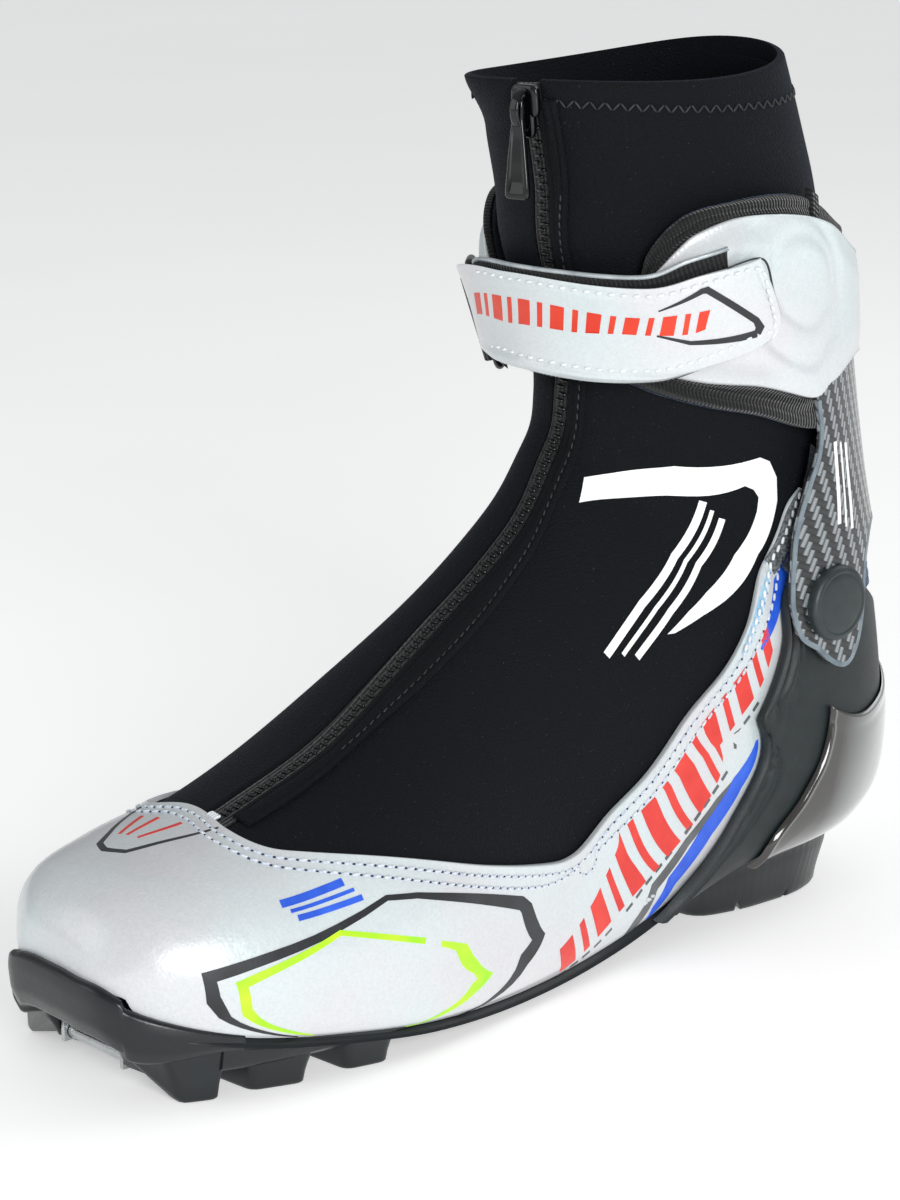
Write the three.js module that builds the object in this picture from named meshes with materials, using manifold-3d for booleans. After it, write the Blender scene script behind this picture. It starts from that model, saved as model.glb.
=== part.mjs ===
// Cross country skating boot for the left foot, about EU 43, in millimetres.
// +Z is up, the toe points to -Y, the outer side of the foot is +X.
//
// Everything is wrapped round one surface, the last: a row of oval sections that fan from the
// upright toe through the instep to the level collar. A place on it is (u, v): u counts the
// sections from toe to collar, v is the angle round a section in degrees, 0 on the instep
// line, 90 on the outer side, 180 under the sole or behind the heel, and -90 on the inner side.
import * as THREE from "three";
import { mergeVertices } from "three/addons/utils/BufferGeometryUtils.js";
import Module from "manifold-3d";

const wasm = await Module();
wasm.setup();

// ---------------------------------------------------------------- driving dimensions

const LAST_LENGTH = 287; // toe tip to back of heel
const LAST_WIDTH = 91; // across the ball of the foot
const LAST_HEIGHT = 252; // floor to the top of the collar

const CLEARANCE = 0.4; // between touching pieces
const LAYER_GAP = 0.65; // between one wrapped layer and the next

const LINER_WALL = 2.6;
const BOARD_WALL = 1.6;
const FOOTBED_WALL = 2.8;
const GAITER_WALL = 1.9;
const VAMP_WALL = 1.3;
const COUNTER_WALL = 1.6;
const CRADLE_WALL = 1.0;
const PADDING_WALL = 1.5;
const TRIM_WALL = 0.9;
const CARBON_WALL = 1.3;
const SHELL_WALL = 1.2;
const STRAP_WALL = 1.2;
const HOOK_WALL = 0.6;
const FLAP_WALL = 1;
const HEM_WALL = 1.1;
const SOLE_WALL = 3.2;

const COLLAR_ROOM = 2.4; // free space between gaiter and cuff, for the zip and for flex
const PULL_ROOM = 0.9; // free space between cuff and strap

const LUG_WEB_Z = 7.5; // height of the sole's underside between the lugs
const TREAD_BACK = -60; // where the forefoot tread ends
const LUG_SPANS = [[-140, -117], [-109, -94], [-82, -69]];
const GUIDE_WIDTH = 9; // each of the two grooves that run on the ski's guide ridges
const GUIDE_RIB = 9; // rib between the grooves
const GUIDE_DEPTH = 6.5;

const BAR_RADIUS = 2;
const BAR_Y = -128;
const BAR_Z = 6.5;
const BAR_POCKET_WIDTH = 28;
const BAR_POCKET_FRONT = -150;
const BAR_POCKET_BACK = -119;
const BAR_POCKET_TOP = 12.5;
const BAR_HOLD = 4; // how far the bar runs into each horn
const BAR_PLATE_WALL = 1.4;

const HEEL_FRONT = 62;
const HEEL_BACK = 125;
const HEEL_HALF_WIDTH = 27;
const HEEL_NOTCHES = [82, 102];
const HEEL_NOTCH = [3.5, 3]; // width and depth
const HEEL_GROOVE = [12, 4.5]; // width and depth of the guide groove

const COLLAR_DIP = 0.12; // sections
const ZIP_HALF_SLOT = 5.5; // degrees
const ZIP_TAPE_HALF = 5;
const ZIP_TEETH_HALF = 2.6;
const ZIP_TEETH_WALL = 1.1;
const SLIDER = { u: 14.62, length: 15, width: 8.5, wall: 2.6 };
const PULL = { length: 25, width: 7.5, wall: 1.5, pin: 0.9 };

const PIVOT_U = 10.17;
const PIVOT_V = 92;
const PIVOT_STEM_RADIUS = 4;
const PIVOT_RUN = 0.1; // running clearance of the stem in the counter
const PIVOT_CAP_RADIUS = 11;
const PIVOT_CAP_RISE = 3.2;

const LOOP_REACH = 8; // the heel loop's reach behind the heel
const LOOP_WALL = 1.8;
const LOOP_WIDTH = 12;

const RING_V = -44;
const RING_U = 11.28;
const RING_BAR = 2.8;
const RING_LENGTH = 17;
const RING_SLOT = 30; // the strap's room inside the ring
const SLEEVE_INNER = 2.3;
const ARC_STEPS = 3; // straight steps in a small rounded corner

// ---------------------------------------------------------------- the last

// One row per section: instep point (y, z), sole or heel point (y, z), half width on the outer
// and on the inner side, height share of the widest line, roundness above and below it
// (2 is an ellipse, more is squarer) and the sideways shift of the section.
const SECTIONS = [
  [-143, 27, -143, 25, 16, 6, 0.6, 2.0, 4.0, -4],
  [-142.5, 42, -139.5, 21, 29, 10, 0.62, 2.3, 4.5, -4],
  [-133, 52, -130, 17.5, 38, 24, 0.64, 2.4, 5.0, -3],
  [-116, 57, -112, 14, 45, 32, 0.66, 2.4, 5.5, -2],
  [-95, 62, -86, 10.5, 49, 38, 0.68, 2.3, 6.0, -1],
  [-69, 73, -55, 6.5, 50, 41, 0.7, 2.2, 6.0, 0],
  [-42, 90, -18, 4, 45, 37, 0.7, 2.1, 6.0, 0],
  [-16, 108, 22, 6, 39, 32, 0.68, 2.0, 5.5, 0],
  [8, 126, 70, 18, 37, 30, 0.66, 2.0, 5.0, 0],
  [23, 144, 122, 23, 36, 30, 0.62, 2.0, 4.0, 0],
  [28, 160, 144, 44, 36, 30, 0.58, 2.0, 2.6, 0],
  [27, 176, 142, 85, 37, 32, 0.54, 2.0, 2.2, 0],
  [23, 192, 132, 125, 38, 35, 0.52, 2.0, 2.1, 0],
  [18, 208, 124, 165, 39, 37, 0.5, 2.0, 2.1, 0],
  [16, 224, 117, 210, 40, 38.5, 0.5, 2.0, 2.1, 0],
  [14, 245, 101, 252, 37, 39, 0.5, 2.0, 2.1, 0],
];
const STANDARD = { length: 287, width: 91, height: 252 };
const alongFoot = (y) => (y * LAST_LENGTH) / STANDARD.length;
const acrossFoot = (x) => (x * LAST_WIDTH) / STANDARD.width;
const upFoot = (z) => (z * LAST_HEIGHT) / STANDARD.height;
const LAST = SECTIONS.map(([ty, tz, by, bz, outer, inner, waist, above, below, shift]) => [
  alongFoot(ty), upFoot(tz), alongFoot(by), upFoot(bz),
  acrossFoot(outer), acrossFoot(inner), waist, above, below, acrossFoot(shift),
]);

const DEG = Math.PI / 180;
const clamp = (x, low, high) => Math.min(Math.max(x, low), high);
const mix = (a, b, t) => a + (b - a) * t;
const smooth = (t) => {
  const x = clamp(t, 0, 1);
  return x * x * (3 - 2 * x);
};

// Catmull-Rom curve through rows of numbers, at x counted in rows.
function through(rows, x) {
  const last = rows.length - 1;
  const i = Math.min(Math.floor(clamp(x, 0, last)), last - 1);
  const f = clamp(x, 0, last) - i;
  const at = (k, n) => rows[k][n];
  return rows[0].map((_, n) => {
    const b = at(i, n);
    const c = at(i + 1, n);
    const a = i > 0 ? at(i - 1, n) : 2 * b - c;
    const d = i + 2 <= last ? at(i + 2, n) : 2 * c - b;
    const bend = 2 * a - 5 * b + 4 * c - d;
    return 0.5 * (2 * b + (c - a) * f + bend * f * f + (3 * b - a - 3 * c + d) * f ** 3);
  });
}

// The point of the last at (u, v), moved out by `out`. The section grows by that much in its own
// plane, and near the toe it also moves forwards, so that a layer keeps its thickness there.
function lastPoint(u, v, out = 0) {
  const row = through(LAST, u);
  const [ty, tz, by, bz, outer, inner, waist, above, below, shift] = row;
  const height = Math.hypot(ty - by, tz - bz);
  const up = [(ty - by) / height, (tz - bz) / height];
  const lean = 1 - smooth((u - 1) / 2);
  const share = out / Math.hypot(1, lean);
  const tall = height + 2 * share;
  const wide = (waist * height + share) / tall;
  const cos = Math.cos(v * DEG);
  const sin = Math.sin(v * DEG);
  const power = 2 / (cos >= 0 ? above : below);
  const reach = Math.abs(cos) ** power;
  const drop = cos >= 0 ? wide * (1 - reach) : wide + (1 - wide) * reach;
  const half = (sin >= 0 ? outer : inner) + share;
  const across = Math.sign(sin) * Math.abs(sin) ** power * half;
  const fall = share - drop * tall;
  return new THREE.Vector3(
    shift + across,
    ty + up[0] * fall - up[1] * lean * share,
    tz + up[1] * fall + up[0] * lean * share,
  );
}

// Axes at a place: `along` runs towards larger v, `up` towards the collar, `out` off the surface.
function axesAt(u, v, out) {
  const origin = lastPoint(u, v, out);
  const along = lastPoint(u, v + 2, out).sub(lastPoint(u, v - 2, out)).normalize();
  const up = lastPoint(u + 0.1, v, out).sub(lastPoint(u - 0.1, v, out));
  up.addScaledVector(along, -up.dot(along)).normalize();
  const normal = new THREE.Vector3().crossVectors(along, up).normalize();
  return { origin, along, up, normal };
}

// The same, turned round the normal until `along` is level.
function levelAxesAt(u, v, out) {
  const { origin, normal } = axesAt(u, v, out);
  const along = new THREE.Vector3(0, 0, 1).cross(normal).normalize();
  return { origin, along, up: new THREE.Vector3().crossVectors(normal, along), normal };
}

// ---------------------------------------------------------------- edges and patches

// A curve through places (u, v), run evenly along its true length: t in 0..1 gives (u, v).
function edge(places) {
  const steps = 24 * (places.length - 1);
  const fine = Array.from({ length: steps + 1 }, (_, i) => through(places, i / 24));
  const run = [0];
  for (let i = 1; i <= steps; i++) {
    const step = lastPoint(...fine[i]).distanceTo(lastPoint(...fine[i - 1]));
    run.push(run[i - 1] + step);
  }
  return (t) => {
    const want = clamp(t, 0, 1) * run[steps];
    let i = 1;
    while (i < steps && run[i] < want) i++;
    const f = (want - run[i - 1]) / Math.max(run[i] - run[i - 1], 1e-9);
    return [mix(fine[i - 1][0], fine[i][0], f), mix(fine[i - 1][1], fine[i][1], f)];
  };
}

const roundFront = (places) => [...places, ...mirrorFront(places)];
const mirrorFront = (places) =>
  places.filter(([, v]) => v !== 0).reverse().map(([u, v]) => [u, -v]);
const roundBack = (places) => [
  ...places,
  ...places.filter(([, v]) => v !== 180).reverse().map(([u, v]) => [u, 360 - v]),
];
const innerSide = (places) => places.map(([u, v]) => [u, 360 - v]);

// A field of places inside four edges. low and high run with t, start and end with s.
function field(low, high, start, end) {
  const corner = [low(0), low(1), high(0), high(1)];
  return (s, t) =>
    [0, 1].map((k) => {
      const across = mix(low(t)[k], high(t)[k], s);
      const along = mix(start(s)[k], end(s)[k], t);
      const flat = mix(
        mix(corner[0][k], corner[1][k], t),
        mix(corner[2][k], corner[3][k], t),
        s,
      );
      return across + along - flat;
    });
}

const straight = (a, b) => (t) => [mix(a[0], b[0], t), mix(a[1], b[1], t)];
const between = (low, high) => field(low, high, straight(low(0), high(0)), straight(low(1), high(1)));

function meshOf(points, triangles) {
  const geometry = new THREE.BufferGeometry();
  const flat = points.flatMap((p) => [p.x, p.y, p.z]);
  geometry.setAttribute("position", new THREE.Float32BufferAttribute(flat, 3));
  geometry.setIndex(triangles.flat());
  return geometry;
}

const evenly = (steps) => Array.from({ length: steps + 1 }, (_, i) => i / steps);

// Section levels from u0 to u1, closer together round the heel. Every full layer uses the same
// ones, so that facets of neighbouring layers lie side by side.
function levels(u0, u1) {
  const stops = [];
  const step = (u) => (u >= 8.5 && u < 10.25 ? 0.25 : u >= 11 ? 1 : 0.5);
  for (let u = 0; u <= 15; u += step(u))
    if (u > u0 + 0.1 && u < u1 - 0.1) stops.push(u);
  return [u0, ...stops, u1];
}

// A closed wall over a field, from the distance `from` to the distance `to` off the last.
// Either distance is a number or a function of (u, v). s and t list the field's grid lines.
function wall(places, s, t, from, to) {
  const off = (distance, u, v) => (typeof distance === "function" ? distance(u, v) : distance);
  const rows = s.length - 1;
  const columns = t.length - 1;
  const points = [];
  for (const distance of [from, to])
    for (const across of s)
      for (const along of t) {
        const [u, v] = places(across, along);
        points.push(lastPoint(u, v, off(distance, u, v)));
      }
  const layer = (rows + 1) * (columns + 1);
  const inside = (i, j) => i * (columns + 1) + j;
  const outside = (i, j) => layer + inside(i, j);
  const triangles = [];
  const quad = (a, b, c, d) => triangles.push([a, b, c], [a, c, d]);
  for (let i = 0; i < rows; i++)
    for (let j = 0; j < columns; j++) {
      quad(outside(i, j), outside(i, j + 1), outside(i + 1, j + 1), outside(i + 1, j));
      quad(inside(i, j), inside(i + 1, j), inside(i + 1, j + 1), inside(i, j + 1));
    }
  for (let j = 0; j < columns; j++) {
    quad(inside(0, j), inside(0, j + 1), outside(0, j + 1), outside(0, j));
    quad(inside(rows, j), outside(rows, j), outside(rows, j + 1), inside(rows, j + 1));
  }
  for (let i = 0; i < rows; i++) {
    quad(inside(i, 0), outside(i, 0), outside(i + 1, 0), inside(i + 1, 0));
    quad(inside(i, columns), inside(i + 1, columns), outside(i + 1, columns), outside(i, columns));
  }
  return facingOut(meshOf(points, triangles));
}

// A filled sock: full sections from u0 to u1, closed at both ends.
function sock(u0, u1, columns, out) {
  const stops = levels(u0, u1);
  const rows = stops.length - 1;
  const points = stops.flatMap((u) =>
    Array.from({ length: columns }, (_, j) => lastPoint(u, (360 * j) / columns, out)));
  const triangles = [];
  for (let i = 0; i < rows; i++)
    for (let j = 0; j < columns; j++) {
      const k = (j + 1) % columns;
      const [a, b] = [i * columns + j, i * columns + k];
      const [c, d] = [(i + 1) * columns + k, (i + 1) * columns + j];
      triangles.push([a, b, c], [a, c, d]);
    }
  const middle = (i) =>
    points.slice(i * columns, (i + 1) * columns)
      .reduce((sum, p) => sum.add(p), new THREE.Vector3()).divideScalar(columns);
  const ends = [[0, false], [rows, true]];
  for (const [i, far] of ends) {
    points.push(middle(i));
    const hub = points.length - 1;
    for (let j = 0; j < columns; j++) {
      const [a, b] = [i * columns + j, i * columns + ((j + 1) % columns)];
      triangles.push(far ? [hub, a, b] : [hub, b, a]);
    }
  }
  return facingOut(meshOf(points, triangles));
}

// ---------------------------------------------------------------- solids

function signedVolume(geometry) {
  const p = geometry.attributes.position;
  const index = geometry.index.array;
  const [a, b, c] = [new THREE.Vector3(), new THREE.Vector3(), new THREE.Vector3()];
  let sum = 0;
  for (let i = 0; i < index.length; i += 3) {
    a.fromBufferAttribute(p, index[i]);
    b.fromBufferAttribute(p, index[i + 1]);
    c.fromBufferAttribute(p, index[i + 2]);
    sum += a.dot(b.cross(c));
  }
  return sum / 6;
}

function facingOut(geometry) {
  if (signedVolume(geometry) < 0) geometry.index.array.reverse();
  return geometry;
}

function solid(geometry) {
  const bare = geometry.clone();
  bare.deleteAttribute("normal");
  bare.deleteAttribute("uv");
  const merged = mergeVertices(bare, 1e-4);
  return new wasm.Manifold(
    new wasm.Mesh({
      numProp: 3,
      vertProperties: new Float32Array(merged.attributes.position.array),
      triVerts: new Uint32Array(merged.index.array),
    }),
  );
}

function shapeOf(body) {
  const mesh = body.getMesh();
  const geometry = new THREE.BufferGeometry();
  geometry.setAttribute("position", new THREE.BufferAttribute(mesh.vertProperties, 3));
  geometry.setIndex(new THREE.BufferAttribute(mesh.triVerts, 1));
  return geometry;
}

function block([x0, x1], [y0, y1], [z0, z1]) {
  const box = new THREE.BoxGeometry(x1 - x0, y1 - y0, z1 - z0);
  return solid(box.translate((x0 + x1) / 2, (y0 + y1) / 2, (z0 + z1) / 2));
}

// A cylinder, or with a second radius a tube, centred at a point and lying along an axis.
function rod(centre, axis, radius, length, sides = 32) {
  const turn = new THREE.Quaternion().setFromUnitVectors(new THREE.Vector3(0, 1, 0), axis);
  const cylinder = new THREE.CylinderGeometry(radius, radius, length, sides);
  return solid(cylinder.applyQuaternion(turn).translate(centre.x, centre.y, centre.z));
}

// A flat outline given a thickness, set on axes: x along, y up, z outwards.
function plate(shape, thickness, axes, lift = 0) {
  const geometry = new THREE.ExtrudeGeometry(shape, {
    depth: thickness, bevelEnabled: false, curveSegments: ARC_STEPS,
  });
  const matrix = new THREE.Matrix4().makeBasis(axes.along, axes.up, axes.normal);
  const base = axes.origin.clone().addScaledVector(axes.normal, lift);
  return solid(geometry.applyMatrix4(matrix.setPosition(base)));
}

function roundedRectangle(width, height, radius, Kind = THREE.Shape) {
  const [x, y] = [width / 2, height / 2];
  const outline = new Kind();
  outline.absarc(x - radius, y - radius, radius, 0, Math.PI / 2);
  outline.absarc(-x + radius, y - radius, radius, Math.PI / 2, Math.PI);
  outline.absarc(-x + radius, -y + radius, radius, Math.PI, 1.5 * Math.PI);
  outline.absarc(x - radius, -y + radius, radius, 1.5 * Math.PI, 2 * Math.PI);
  outline.closePath();
  return outline;
}

// Turns an outline drawn in (y, z) and extruded along x into the boot's axes.
const sideways = new THREE.Matrix4().makeBasis(
  new THREE.Vector3(0, 1, 0),
  new THREE.Vector3(0, 0, 1),
  new THREE.Vector3(1, 0, 0),
);

// ---------------------------------------------------------------- layers off the last

const gaiterIn = -GAITER_WALL;
const boardOut = gaiterIn - LAYER_GAP;
const boardIn = boardOut - BOARD_WALL;
const linerOut = boardIn - LAYER_GAP;
const linerIn = linerOut - LINER_WALL;
const footbedOut = linerIn - LAYER_GAP;
const footbedIn = footbedOut - FOOTBED_WALL;
const hemOut = gaiterIn - 1.5 * LAYER_GAP;
const hemIn = hemOut - HEM_WALL;
const vampIn = LAYER_GAP;
const flapIn = LAYER_GAP;
const flapOut = flapIn + FLAP_WALL;
const vampOut = vampIn + VAMP_WALL;
const soleOut = vampIn + SOLE_WALL;
const counterIn = vampOut + 1.5 * LAYER_GAP;
const counterOut = counterIn + COUNTER_WALL;
const cradleIn = counterOut + 1.5 * LAYER_GAP;
const cradleOut = cradleIn + CRADLE_WALL;
const paddingIn = COLLAR_ROOM;
const paddingOut = paddingIn + PADDING_WALL;
const trimIn = paddingOut + 1.5 * LAYER_GAP;
const trimOut = trimIn + TRIM_WALL;
const carbonIn = Math.max(trimOut, cradleOut) + LAYER_GAP;
const carbonOut = carbonIn + CARBON_WALL;
const shellIn = carbonOut + LAYER_GAP;
const shellOut = shellIn + SHELL_WALL;
const strapInnerIn = shellOut + PULL_ROOM;
const strapInnerOut = strapInnerIn + STRAP_WALL;
const hookIn = strapInnerOut + CLEARANCE;
const hookOut = hookIn + HOOK_WALL;
const strapOuterIn = hookOut + CLEARANCE;
const strapOuterOut = strapOuterIn + STRAP_WALL + 0.3;

// ---------------------------------------------------------------- edge lines of the upper

// The line where the upper meets the sole, from the toe to the waist of the outer side.
const featherLine = [
  [0, 90], [0.97, 90], [1.77, 104], [2.53, 112], [3.7, 122], [4.63, 128], [5.8, 133], [7.3, 137],
];
// The rim of the vamp, from the middle of the toe to the top of the outer quarter.
const rimLine = [
  [3.97, 0], [3.87, 16], [3.97, 30], [4.3, 41], [5.03, 58], [5.73, 73], [6.37, 83], [6.77, 87],
  [7.2, 85], [7.63, 84], [8.17, 80], [8.6, 78], [9.1, 76], [9.83, 75], [10.63, 83], [11.07, 91],
];
const zipLine = [
  [3.3, 8], [3.97, 8], [4.6, 8], [5.43, 11], [6.03, 12], [6.6, 13], [7.3, 14], [8, 12.5],
  [9, 9.5], [10.5, 8], [12, 9], [13.3, 11], [15, 10],
];
const flapLine = [
  [4.08, 19], [5.3, 20.5], [6.23, 25], [7, 27], [7.7, 25], [8.5, 21], [9.7, 19], [11.67, 18.5],
  [13.4, 22], [14.75, 22],
];
const ridgeLine = [
  [7.3, 137], [7.45, 123], [7.73, 111], [8.13, 98], [8.53, 91], [8.9, 87], [9.37, 84], [9.7, 81],
  [10.23, 83], [10.7, 88],
];
const heelSeam = [[7.3, 137], [7.75, 139.5], [8.3, 141.5], [8.9, 144], [9.15, 158], [9.2, 180]];

const shifted = (places, du, dv) => places.map(([u, v]) => [u + du, v + dv]);

// ---------------------------------------------------------------- sole

const soleEdge = [...shifted(featherLine, 0, 0.4), ...shifted(heelSeam.slice(1, 4), 0, 1.5)];
const lastBody = (out) => solid(sock(0, 11, 36, out));

// The tread's outline seen from below, a little inside the sole's edge.
function treadOutline() {
  const side = (v) =>
    Array.from({ length: 15 }, (_, i) => lastPoint(mix(0.2, 5.2, i / 14), v, SOLE_WALL - 1));
  const ring = [...side(118), ...side(242).reverse()];
  return new THREE.Shape(ring.map((p) => new THREE.Vector2(p.x, p.y)));
}

// Everything below the middle line of the last's underside, across the whole foot.
function underSole() {
  const line = Array.from({ length: 12 }, (_, i) => lastPoint(mix(0.3, 5.4, i / 11), 180));
  const profile = new THREE.Shape(line.map((p) => new THREE.Vector2(p.y, p.z)));
  profile.lineTo(line.at(-1).y, -5);
  profile.lineTo(-LAST_LENGTH, -5);
  profile.lineTo(-LAST_LENGTH, line[0].z);
  const wedge = new THREE.ExtrudeGeometry(profile, { depth: 160, bevelEnabled: false });
  return solid(wedge.translate(0, 0, -80).applyMatrix4(sideways));
}

function outsole() {
  const lowest = soleEdge.map(([u]) => [u, 180]);
  const halves = field(
    edge(soleEdge),
    edge(lowest),
    straight(soleEdge[0], lowest[0]),
    straight(soleEdge.at(-1), lowest.at(-1)),
  );
  const cup = (s, t) => {
    const [u, v] = halves(s < 0.5 ? 2 * s : 2 - 2 * s, t);
    return [u, s < 0.5 ? v : 360 - v];
  };
  const shell = solid(wall(cup, evenly(14), evenly(26), vampIn, soleOut));
  const plan = new THREE.ExtrudeGeometry(treadOutline(), { depth: 30, bevelEnabled: false });
  const wide = [-70, 70];
  const deep = [-1, 30];
  const treadFront = -LAST_LENGTH;
  let base = block(wide, [treadFront, alongFoot(TREAD_BACK)], [LUG_WEB_Z, 30]);
  for (const [front, back] of LUG_SPANS)
    base = base.add(block(wide, [alongFoot(front) - 4, alongFoot(back)], deep));
  let tread = solid(plan).intersect(base).intersect(underSole());
  for (const side of [-1, 1]) {
    const near = (side * GUIDE_RIB) / 2;
    const far = near + side * GUIDE_WIDTH;
    const across = [Math.min(near, far), Math.max(near, far)];
    const run = [alongFoot(BAR_POCKET_BACK) - 2, alongFoot(TREAD_BACK) + 2];
    tread = tread.subtract(block(across, run, [-2, GUIDE_DEPTH]));
  }
  const pocketSide = BAR_POCKET_WIDTH / 2;
  tread = tread.subtract(
    block(
      [-pocketSide, pocketSide],
      [alongFoot(BAR_POCKET_FRONT), alongFoot(BAR_POCKET_BACK)],
      [-2, upFoot(BAR_POCKET_TOP)],
    ),
  );
  tread = tread.subtract(toeBarSolid(BAR_RADIUS + CLEARANCE / 2, BAR_HOLD + CLEARANCE));
  return shapeOf(shell.add(tread.subtract(lastBody(vampIn + 0.8))));
}

function toeBarSolid(radius, hold) {
  const centre = new THREE.Vector3(0, alongFoot(BAR_Y), upFoot(BAR_Z));
  return rod(centre, new THREE.Vector3(1, 0, 0), radius, BAR_POCKET_WIDTH + 2 * hold, 32);
}

function toeBarPlate() {
  const side = BAR_POCKET_WIDTH / 2 - CLEARANCE;
  const top = upFoot(BAR_POCKET_TOP) - CLEARANCE;
  const y = alongFoot(BAR_Y);
  const roof = block([-side, side], [y - 3, alongFoot(BAR_POCKET_BACK) - CLEARANCE],
    [top - BAR_PLATE_WALL, top]);
  const cheek = (x) =>
    block([x - BAR_PLATE_WALL / 2, x + BAR_PLATE_WALL / 2], [y - 3, y + 4],
      [upFoot(BAR_Z) - 2.5, top - BAR_PLATE_WALL / 2]);
  const inset = side - BAR_PLATE_WALL / 2;
  const body = roof.add(cheek(-inset)).add(cheek(inset));
  const held = body.subtract(toeBarSolid(BAR_RADIUS + CLEARANCE / 2, BAR_HOLD));
  return shapeOf(held.subtract(lastBody(soleOut + CLEARANCE)));
}

function heelBlock() {
  const half = acrossFoot(HEEL_HALF_WIDTH);
  const front = alongFoot(HEEL_FRONT);
  const back = alongFoot(HEEL_BACK);
  const outline = new THREE.Shape();
  outline.moveTo(-half + 3, front);
  outline.lineTo(half - 3, front);
  outline.bezierCurveTo(half + 1, front + 18, half + 2, back - 22, half - 3, back - 10);
  outline.quadraticCurveTo(half - 9, back, 0, back);
  outline.quadraticCurveTo(-half + 9, back, -half + 3, back - 10);
  outline.bezierCurveTo(-half - 2, back - 22, -half - 1, front + 18, -half + 3, front);
  const tall = new THREE.ExtrudeGeometry(outline, {
    depth: 40, bevelEnabled: false, curveSegments: ARC_STEPS,
  });
  let body = solid(tall);
  const [notchWidth, notchDepth] = HEEL_NOTCH;
  for (const y of HEEL_NOTCHES)
    for (const side of [-1, 1])
      body = body.subtract(
        block(
          side < 0 ? [-70, -half + 8] : [half - 8, 70],
          [alongFoot(y) - notchWidth / 2, alongFoot(y) + notchWidth / 2],
          [-1, notchDepth],
        ),
      );
  const [grooveWidth, grooveDepth] = HEEL_GROOVE;
  const groove = [-grooveWidth / 2, grooveWidth / 2];
  body = body.subtract(block(groove, [front - 5, back + 5], [-1, grooveDepth]));
  return shapeOf(body.subtract(solid(sock(5, 11, 36, soleOut + 1.5 * LAYER_GAP)))
    .intersect(block([-70, 70], [front - 5, back + 5], [-1, upFoot(26)])));
}

// ---------------------------------------------------------------- inside of the boot

// A sheet under the foot from u0 to u1, as wide as `half` degrees each side of the middle.
function underfoot(u0, u1, half, from, to) {
  const turns = evenly(2 * Math.round(half / 7.5)).map((s) => mix(180 - half, 180 + half, s));
  return wall((u, v) => [u, v], levels(u0, u1), turns, from, to);
}

function liner() {
  const outer = solid(sock(1.75, 13.9, 24, linerOut));
  const inner = solid(sock(2.0, 14.3, 24, linerIn));
  return shapeOf(outer.subtract(inner));
}

// ---------------------------------------------------------------- upper

function vamp() {
  const front = [[0, 45], [0, 0]];
  const seam = featherLine.map(([u, v]) => [u, v - (u < 1 ? 5 : 1)]);
  const lower = edge(roundFront([...seam.reverse(), ...front]));
  const upper = edge(roundFront([...rimLine].reverse()));
  const body = wall(between(lower, upper), evenly(6), evenly(68), vampIn, vampOut);
  return shapeOf(withPivotHoles(solid(body)));
}

// The zip's angle on each level.
const zipEdge = edge(zipLine);
function zipAngle(u) {
  let [low, high] = [0, 1];
  for (let i = 0; i < 30; i++) {
    const middle = (low + high) / 2;
    if (zipEdge(middle)[0] < u) low = middle;
    else high = middle;
  }
  return zipEdge(low)[1];
}

// The gaiter is a sock of knitted neoprene, slit along its zip. Its collar dips at the sides.
function gaiter() {
  const turns = [zipAngle(0) + ZIP_HALF_SLOT];
  for (let v = 30; v <= 345; v += 15) turns.push(v);
  turns.push(360 - ZIP_HALF_SLOT);
  const dip = (v) => COLLAR_DIP * Math.sin(v * DEG) ** 2;
  const places = (u, v) => {
    const zip = zipAngle(u);
    const inSlot = v === turns[0] || v === turns.at(-1);
    const turn = inSlot ? zip + (v === turns[0] ? ZIP_HALF_SLOT : v) : v;
    return [u - dip(turn) * smooth(u - 14), turn];
  };
  return wall(places, levels(3.3, 15), turns, gaiterIn, 0);
}

// A strip of the last's surface whose two edges keep their angles from the zip.
function besideZip(halfFrom, halfTo, u0, u1, columns, from, to) {
  const places = (u, t) => [u, zipAngle(u) + mix(halfFrom, halfTo, t)];
  return wall(places, levels(u0, u1), evenly(columns), from, to);
}

function zipFlap() {
  const inner = edge(shifted(zipLine.filter(([u]) => u > 4 && u < 14), 0, 3.6));
  const outer = edge(flapLine);
  const near = edge([[4.08, 11.6], ...Array.from({ length: 10 }, (_, i) => inner(i / 9)),
    [14.75, 14]]);
  return wall(between(near, outer), evenly(1), evenly(28), flapIn, flapOut);
}

// ---------------------------------------------------------------- heel

function heelCounter() {
  const low = edge(roundBack(shifted(heelSeam, 0.03, 0)));
  const high = edge(roundBack([[10.7, 88], [10.72, 105], [10.85, 135], [11, 180]]));
  const side = edge(ridgeLine);
  const start = (s) => [side(s)[0] + 0.03 * (1 - s), side(s)[1]];
  const end = (s) => [start(s)[0], 360 - start(s)[1]];
  const body = wall(field(low, high, start, end), evenly(7), evenly(24), counterIn, counterOut);
  return shapeOf(withPivotHoles(solid(body)));
}

function heelCradle() {
  const low = edge(roundBack([[8.1, 144], [8.6, 143], [9.05, 147], [9.2, 162], [9.25, 180]]));
  const high = edge(roundBack([[9.33, 95], [9.6, 108], [10.1, 128], [10.55, 152], [10.7, 180]]));
  const side = edge([[8.1, 144], [8.27, 118], [8.6, 105], [8.93, 99], [9.33, 95]]);
  const end = (s) => [side(s)[0], 360 - side(s)[1]];
  return wall(field(low, high, side, end), evenly(6), evenly(22), cradleIn, cradleOut);
}

// A soft roll of pile fabric along the counter's top edge, behind the ankle.
function counterPadding() {
  const low = edge(roundBack([[10.78, 108], [10.95, 140], [11.1, 180]]));
  const high = edge(roundBack([[11.1, 112], [11.34, 140], [11.4, 180]]));
  return wall(between(low, high), evenly(2), evenly(18), vampIn, counterOut - CLEARANCE);
}

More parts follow.
